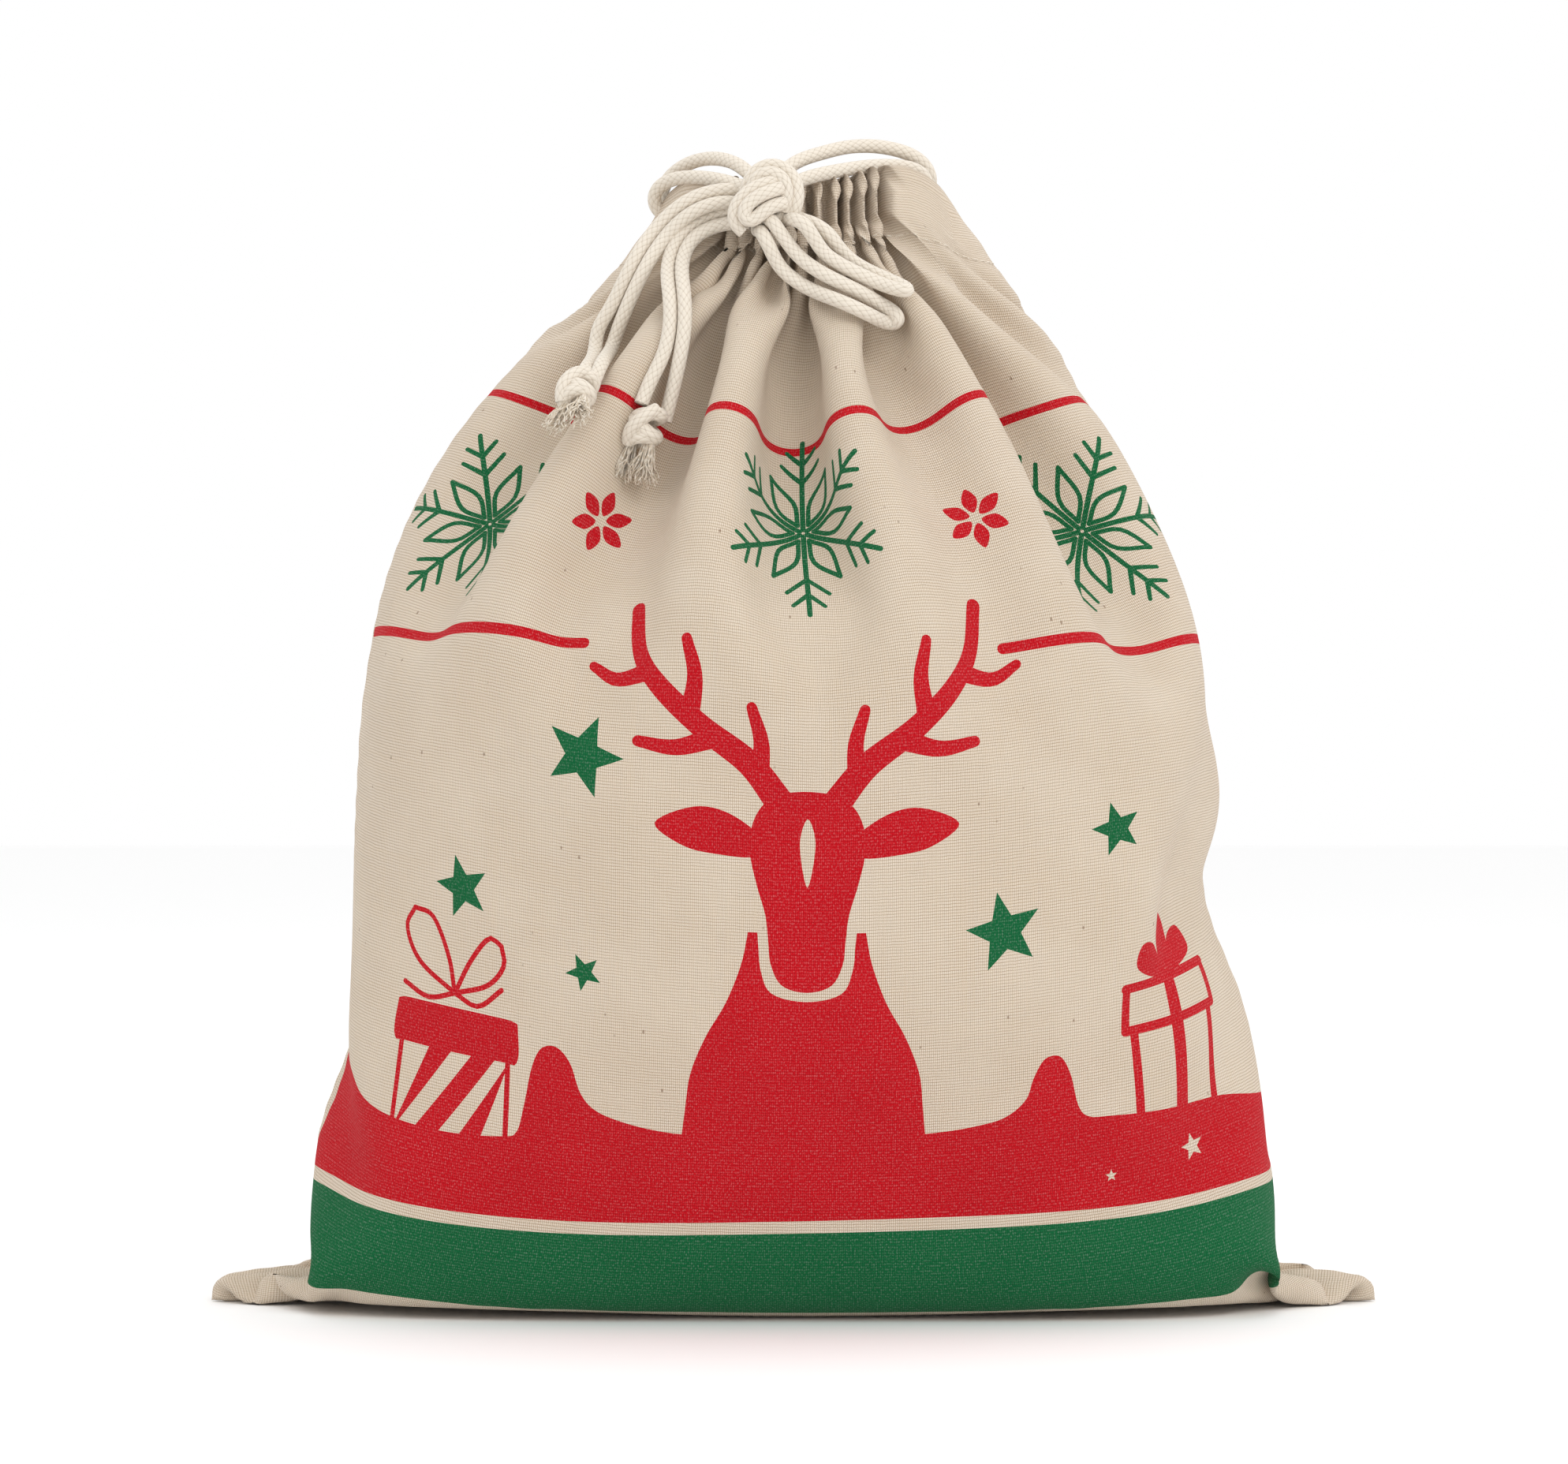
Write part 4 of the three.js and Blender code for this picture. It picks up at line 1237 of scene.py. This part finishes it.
def foremost(x, z):
    """The cloth's furthest point forward near (x, z)."""
    found = []
    for dx, dz in ((0, 0), (-1, 0), (1, 0), (0, -1), (0, 1)):
        start = (x + dx * FELT_ROUND, -0.5, z + dz * FELT_ROUND)
        hit = CLOTH_TREE.ray_cast(start, (0, 1, 0))[0]
        if hit:
            found.append(hit.y)
    return np.array([x, min(found), z])


def laid(route):
    """A smooth line through points at (x, z, height over the cloth), given in millimetres."""
    points = []
    for x, z, height in np.array(route) / 1000:
        points.append(foremost(x, z) + smooth_normal(x, z) * max(TOUCH, height - LOWERED))
    return smooth_route(points)


def off_cloth(points):
    """Moves a cord out of the cloth, past the points that the bow knot holds, and evens out its bends."""
    home = points.copy()
    for _ in range(40):
        points[1:-1] += 0.3 * (points[:-2] - 2 * points[1:-1] + points[2:])
        points[1:-1] += 0.03 * (home[1:-1] - points[1:-1])
        for i in range(AT_KNOT, len(points)):
            near, normal, _, distance = CLOTH_TREE.find_nearest(points[i])
            height = distance if (points[i] - np.array(near)) @ np.array(normal) > 0 else -distance
            if -DEEPEST < height < TOUCH:
                points[i] += smooth_normal(points[i][0], points[i][2]) * (TOUCH - height)
    for _ in range(12):
        points[1:-1] += 0.25 * (points[:-2] - 2 * points[1:-1] + points[2:])
    return points


def pair_of(points):
    """The lines of two cords that lie side by side along the points."""
    across = unit(np.cross(np.gradient(points, axis=0), (-0.25, -1.0, 0.45)))
    spacing = CORD + 0.0002
    return points + across * spacing / 2, points - across * spacing / 2


# Millimetres. Strands from the exits to the bow knot: x, y, z.
STRANDS = {
    "left_cord_front_strand": [
        (-39, -2.6, 349.5), (-42.6, -3.4, 351), (-45, -4.4, 353.8), (-45, -5.6, 357.6),
        (-41.8, -8, 360.6), (-36, -12.6, 361.8), (-29, -19, 361), (-22, -26.6, 359), (-15, -34, 356),
    ],
    "left_cord_back_strand": [
        (-36.6, 2.6, 350.5), (-40.6, 3, 352.8), (-42.8, 3, 356.6), (-41.8, 1.6, 361.4),
        (-37.4, -1.6, 365.6), (-31, -7, 368), (-24, -14.6, 367.6), (-17.6, -24.6, 364.4),
        (-12, -33, 358.8),
    ],
    "right_cord_front_strand": [
        (37, -2.6, 353), (41, -3, 355.4), (43.2, -3.8, 359), (42.8, -4.8, 363), (39.4, -6.6, 365.2),
        (33, -10, 365.8), (24, -15, 365), (14, -21.6, 362.8), (5, -28.6, 360), (-3, -35.4, 356),
    ],
    "right_cord_back_strand": [
        (37, 2.6, 353.5), (41.8, 3, 356.4), (44.6, 2.8, 360.6), (44.2, 1.8, 365.4), (40.4, -0.2, 369.4),
        (34.6, -2.8, 371.6), (26.6, -6.4, 372.6), (17.6, -11.2, 371.8), (9, -17.4, 369),
        (1, -24.6, 365.4), (-6, -32.6, 359),
    ],
}
# Tails and loops over the front: x, z, height over the cloth.
LEFT_TAIL = [
    (-12, 348.4, 11), (-17.2, 350, 10.6), (-22.8, 349.8, 10), (-28.8, 347.4, 9.6), (-34.8, 343.2, 9),
    (-40.2, 337.4, 8), (-45.2, 330.4, 6.6), (-50, 322, 5.4), (-54.6, 312.4, 4.4), (-58, 303.2, 4),
    (-60.6, 295.4, 4), (-62.6, 289, 4.4),
]
RIGHT_TAIL = [
    (-12, 344.4, 6), (-17.6, 345.4, 5.4), (-23.8, 344.8, 4.6), (-29.4, 342.8, 4), (-33.8, 339, 4),
    (-36.2, 333.4, 4), (-36.4, 326.6, 4.2), (-35.2, 319.2, 4.4), (-34.6, 311, 4.4), (-35.6, 302.4, 4.4),
    (-37.4, 293.6, 4.4), (-39.4, 285.6, 4.4), (-41.2, 278.2, 5),
]
UPPER_BIGHT = [
    (-5, 348, 8), (0, 342.8, 7.4), (6, 337.4, 6), (13, 332.2, 5), (20, 328, 4.4),
    (27, 324.6, 4.2), (32.4, 322, 4.2), (36, 319.6, 5.4), (35.4, 317.2, 7.8), (31.4, 317.4, 9),
    (25, 320.4, 8.8), (17, 324.2, 8.4), (9, 329, 8.4), (2, 334.8, 8.8), (-4, 341.4, 9),
]
LOWER_BIGHT = [
    (-9, 342, 10), (-6.2, 335.4, 9.4), (-1, 329.6, 8.6), (6, 325, 7.6), (14, 321.2, 6.6),
    (21.6, 318, 5.6), (28, 315, 5), (32.6, 312.4, 4.8), (32.8, 309.8, 4.8), (29, 309.8, 4.4),
    (22, 312.8, 4), (13.4, 316.6, 4.2), (4.6, 320.4, 4.8), (-3, 325, 5.4), (-8.2, 331.4, 6.6),
    (-11, 339.4, 7.6),
]


def casing_cord(name, side, z):
    """A cord's run round the mouth inside the casing, from its exit all the way back to it."""
    turn = np.linspace(0.30, 2 * math.pi - 0.30, 120)
    ring = opening_point(0.042 * np.cos(turn), -0.030 * np.sin(turn), OPENING + 0.0036)
    return ropes(name, [np.column_stack([side * ring[:, 0], ring[:, 1], np.full(120, z)])])


strand_lines = {name: smooth_route(np.array(route) / 1000) for name, route in STRANDS.items()}
bight_lines = {
    "bow_loop_upper": off_cloth(laid(UPPER_BIGHT)),
    "bow_loop_lower": off_cloth(laid(LOWER_BIGHT)),
}
tail_lines = {}
for cord, route in (("left_cord", LEFT_TAIL), ("right_cord", RIGHT_TAIL)):
    for which, line in zip(("outer", "inner"), pair_of(laid(route))):
        tail_lines[f"{cord}_tail_{which}"] = off_cloth(line)


# ---------- knots and frayed ends ----------

BOW_KNOT = np.array([-0.0080, -0.0425, 0.3505])
# The turns of cord in the bow knot, in millimetres from its middle: right, up, outward.
KNOT_TURNS = [
    [(-7.5, 0.5, -2), (-6.8, 5.5, 0.5), (-4.6, 9.6, 1.5), (-0.6, 11.8, 2), (3.6, 11.4, 2),
     (7.2, 8.6, 1.6), (9.2, 4.2, 1.2), (9.2, -0.6, 0.4), (7.2, -5, -1.5)],
    [(-5.6, 2.2, 1), (-4.2, 6, 3.2), (-0.8, 8.2, 4.2), (3, 7.8, 4.2), (5.6, 5, 3.8), (6.2, 1, 2.6),
     (5.2, -3.4, 0)],
    [(3.4, 5.4, 3), (0.2, 4.2, 5), (-4.2, 2, 5.6), (-8, -1.2, 5), (-10.2, -5, 3.6), (-9.6, -8.8, 1.8),
     (-6.6, -10.6, 0)],
    [(4.6, 2.6, 4.4), (1, 0.6, 6.2), (-3.4, -1.8, 6.6), (-6.6, -5, 6), (-6.8, -8.2, 4.6), (-4, -8.6, 4),
     (-1.2, -5.8, 4.6), (2.6, -3.2, 4.4), (6, -1.6, 2.6)],
    [(-6.5, -1, -1), (-3, 4.4, -1.4), (3, 4.6, -1.4), (5.6, 0, -1.4), (3, -5, -1.4), (-3, -5.6, -1.2),
     (-6.5, -1, -1)],
]


def axes_facing(outward):
    """Right, up and outward unit vectors of something that faces outward."""
    outward = unit(outward)
    right = unit(np.cross((0, 0, 1), outward))
    return np.array([right, np.cross(outward, right), outward])


def axes_hanging(hang, outward):
    """Right, down and front unit vectors of something that hangs along hang before the cloth."""
    down = unit(hang)
    right = unit(np.cross(down, outward))
    return right, down, np.cross(right, down)


def bow_knot():
    axes = axes_facing((-0.12, -1.0, 0.35))
    lines = [smooth_route(BOW_KNOT + np.array(turn) / 1000 @ axes, KNOT_STEP) for turn in KNOT_TURNS]
    return ropes("bow_knot_turns", lines)


KNOT_RADIUS = 0.0039  # of the turns of an end knot, to the middle of the cord


def end_knot(name, middle, hang, outward):
    """The overhand knot of a pair: three slanting turns round it, with its cords hanging along hang."""
    right, down, front = axes_hanging(hang, outward)
    turn = np.linspace(0, 2 * math.pi, 40)[:, None]
    lines = []
    for lift, tilt, size in ((-0.0034, 0.35, 0.95), (0.0004, -0.5, 1.08), (0.0040, 0.3, 0.9)):
        ring = size * KNOT_RADIUS * (np.cos(turn) * right + 0.82 * np.sin(turn) * front)
        lines.append(middle + ring + down * (lift + tilt * KNOT_RADIUS * np.cos(turn)))
    band = [(-0.8, -1.5, 0.5), (-0.5, -0.8, 1.25), (0.1, 0.1, 1.45), (0.6, 0.9, 1.2), (0.8, 1.6, 0.4)]
    band_route = middle + KNOT_RADIUS * np.array(band) @ np.array([right, down, front])
    lines.append(smooth_route(band_route, KNOT_STEP))
    return ropes(name, lines)


FIBRES = 44  # in one tuft
FIBRE = 0.00075  # diameter
FRAY_LENGTH = 0.0130
FIBRE_TOUCH = 0.0005  # from a fibre's middle to the cloth
WAVE = 0.0009


def frayed_end(name, start, hang, outward, seed):
    """A cord's end untwisted into a tuft of wavy cotton fibres that lies on the cloth."""
    rng = np.random.default_rng(seed)
    right, down, front = axes_hanging(hang, outward)
    share = np.linspace(0, 1, 9)[:, None]
    lines = []
    for _ in range(FIBRES):
        angle, out = rng.uniform(0, 2 * math.pi), math.sqrt(rng.uniform(0, 1))
        across = out * (math.cos(angle) * right + 0.7 * math.sin(angle) * front)
        length = FRAY_LENGTH * rng.uniform(0.72, 1.08)
        wave = WAVE * np.sin(share * rng.uniform(5, 11) + rng.uniform(0, 6)) * share
        line = start + across * (0.0018 + 0.0034 * share**1.3) + down * (length * share) + wave * right
        line = line + WAVE * np.sin(share * rng.uniform(4, 9) + rng.uniform(0, 6)) * share * front
        for i in range(1, len(line)):
            near, normal, _, _ = CLOTH_TREE.find_nearest(line[i])
            height = float((line[i] - np.array(near)) @ np.array(normal))
            line[i] += np.array(normal) * max(0, FIBRE_TOUCH - height)
        lines.append(line)
    return ropes(name, lines, FIBRE, THREAD, 4, np.linspace(1, 0.55, 9))


# ---------- the pieces on the frame ----------


for node, piece in pieces.items():
    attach(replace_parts(piece, node), "sack")
for node, side, z in (("left_cord_in_casing", -1, 0.3515), ("right_cord_in_casing", 1, 0.3570)):
    piece = casing_cord(node + "_run", side, z)
    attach(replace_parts(piece, node), "sack")
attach(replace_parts(bow_knot(), "bow_knot"), "sack")
for lines, body, lay in ((strand_lines, "sack", "taut"), (bight_lines, "bow_loops", "hanging")):
    for node, line in lines.items():
        piece = ropes(node + "_braid", [line])
        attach(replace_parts(piece, node), body)

KNOT_BELOW = 0.0055  # from the ends of a tail's cords to the middle of their knot
KNOT_PROUD = 0.0012  # how far the knot stands out from the tail
FRAY_BELOW = 0.0045  # from the middle of the knot to the feet of the tufts
FRAY_APART = 0.0030  # the tufts' feet to either side of the knot's middle
FRAY_SPLAY = 0.12
for cord in ("left_cord", "right_cord"):
    joint = next(j for j in frame["joints"] if j["child"] == cord.replace("_cord", "_tail"))
    outer, inner = tail_lines[f"{cord}_tail_outer"], tail_lines[f"{cord}_tail_inner"]
    end, before = (outer[-1] + inner[-1]) / 2, (outer[-9] + inner[-9]) / 2
    hang = unit(end - before)
    outward = smooth_normal(end[0], end[2])
    middle = end + hang * KNOT_BELOW + outward * KNOT_PROUD
    body = joint["child"]
    knot_end = end_knot(f"{cord}_end_knot", middle, hang, outward)
    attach(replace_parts(knot_end, f"{cord}_tail_knot"), body)
    right = np.cross(hang, outward)
    for which, line, side, seed in (("outer", outer, 1, 3), ("inner", inner, -1, 8)):
        foot = middle + hang * FRAY_BELOW - right * side * FRAY_APART
        splayed = hang - right * side * FRAY_SPLAY
        tuft = frayed_end(f"{cord}_fray_{which}_fibres", foot, splayed, outward, seed)
        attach(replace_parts(tuft, f"{cord}_tail_fray_{which}"), body)
        piece = ropes(f"{cord}_tail_{which}_braid", [line])
        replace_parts(piece, f"{cord}_tail_lead_{which}", f"{cord}_tail_strand_{which}")
        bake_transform(piece)


# ---------- stage, lights and camera ----------

def plain_material(name, colour):
    material = bpy.data.materials.new(name)
    material.use_nodes = True
    shader = material.node_tree.nodes["Principled BSDF"]
    shader.inputs["Base Color"].default_value = colour
    shader.inputs["Roughness"].default_value = 0.85
    return material


LIT_POINT = (0, 0, 0.18)


def area_light(name, place, size, power):
    """A square lamp that shines at the middle of the sack."""
    light = bpy.data.lights.new(name, "AREA")
    light.size = size
    light.energy = power
    lamp = bpy.data.objects.new(name, light)
    lamp.location = place
    lamp.rotation_euler = (Vector(LIT_POINT) - Vector(place)).to_track_quat("-Z", "Y").to_euler()
    bpy.context.scene.collection.objects.link(lamp)


FLOOR_HALF = 6.0
corners = [(x * FLOOR_HALF, y * FLOOR_HALF, 0) for x, y in ((-1, -1), (1, -1), (1, 1), (-1, 1))]
pale = plain_material("pale_floor", (0.97, 0.97, 0.97, 1))
mesh_object("floor", corners, [(0, 1, 2, 3)], materials=[pale])
area_light("key", (1.1, -1.5, 1.7), 1.0, 11)
area_light("fill", (-1.6, -1.6, 0.9), 1.6, 1)
area_light("top", (0.1, 0.2, 2.0), 1.4, 6)
world = bpy.data.worlds.new("pale_room")
world.use_nodes = True
world.node_tree.nodes["Background"].inputs["Color"].default_value = (1, 1, 1, 1)
world.node_tree.nodes["Background"].inputs["Strength"].default_value = 1.0
bpy.context.scene.world = world
bpy.context.scene.view_settings.view_transform = "Standard"

camera = bpy.data.cameras.new("camera")
camera.lens = 106.5
camera.sensor_width = 36
eye = bpy.data.objects.new("camera", camera)
eye.location = (-0.003, -1.5, 0.184)
eye.rotation_euler = (math.pi / 2, 0, 0)
bpy.context.scene.collection.objects.link(eye)
bpy.context.scene.camera = eye
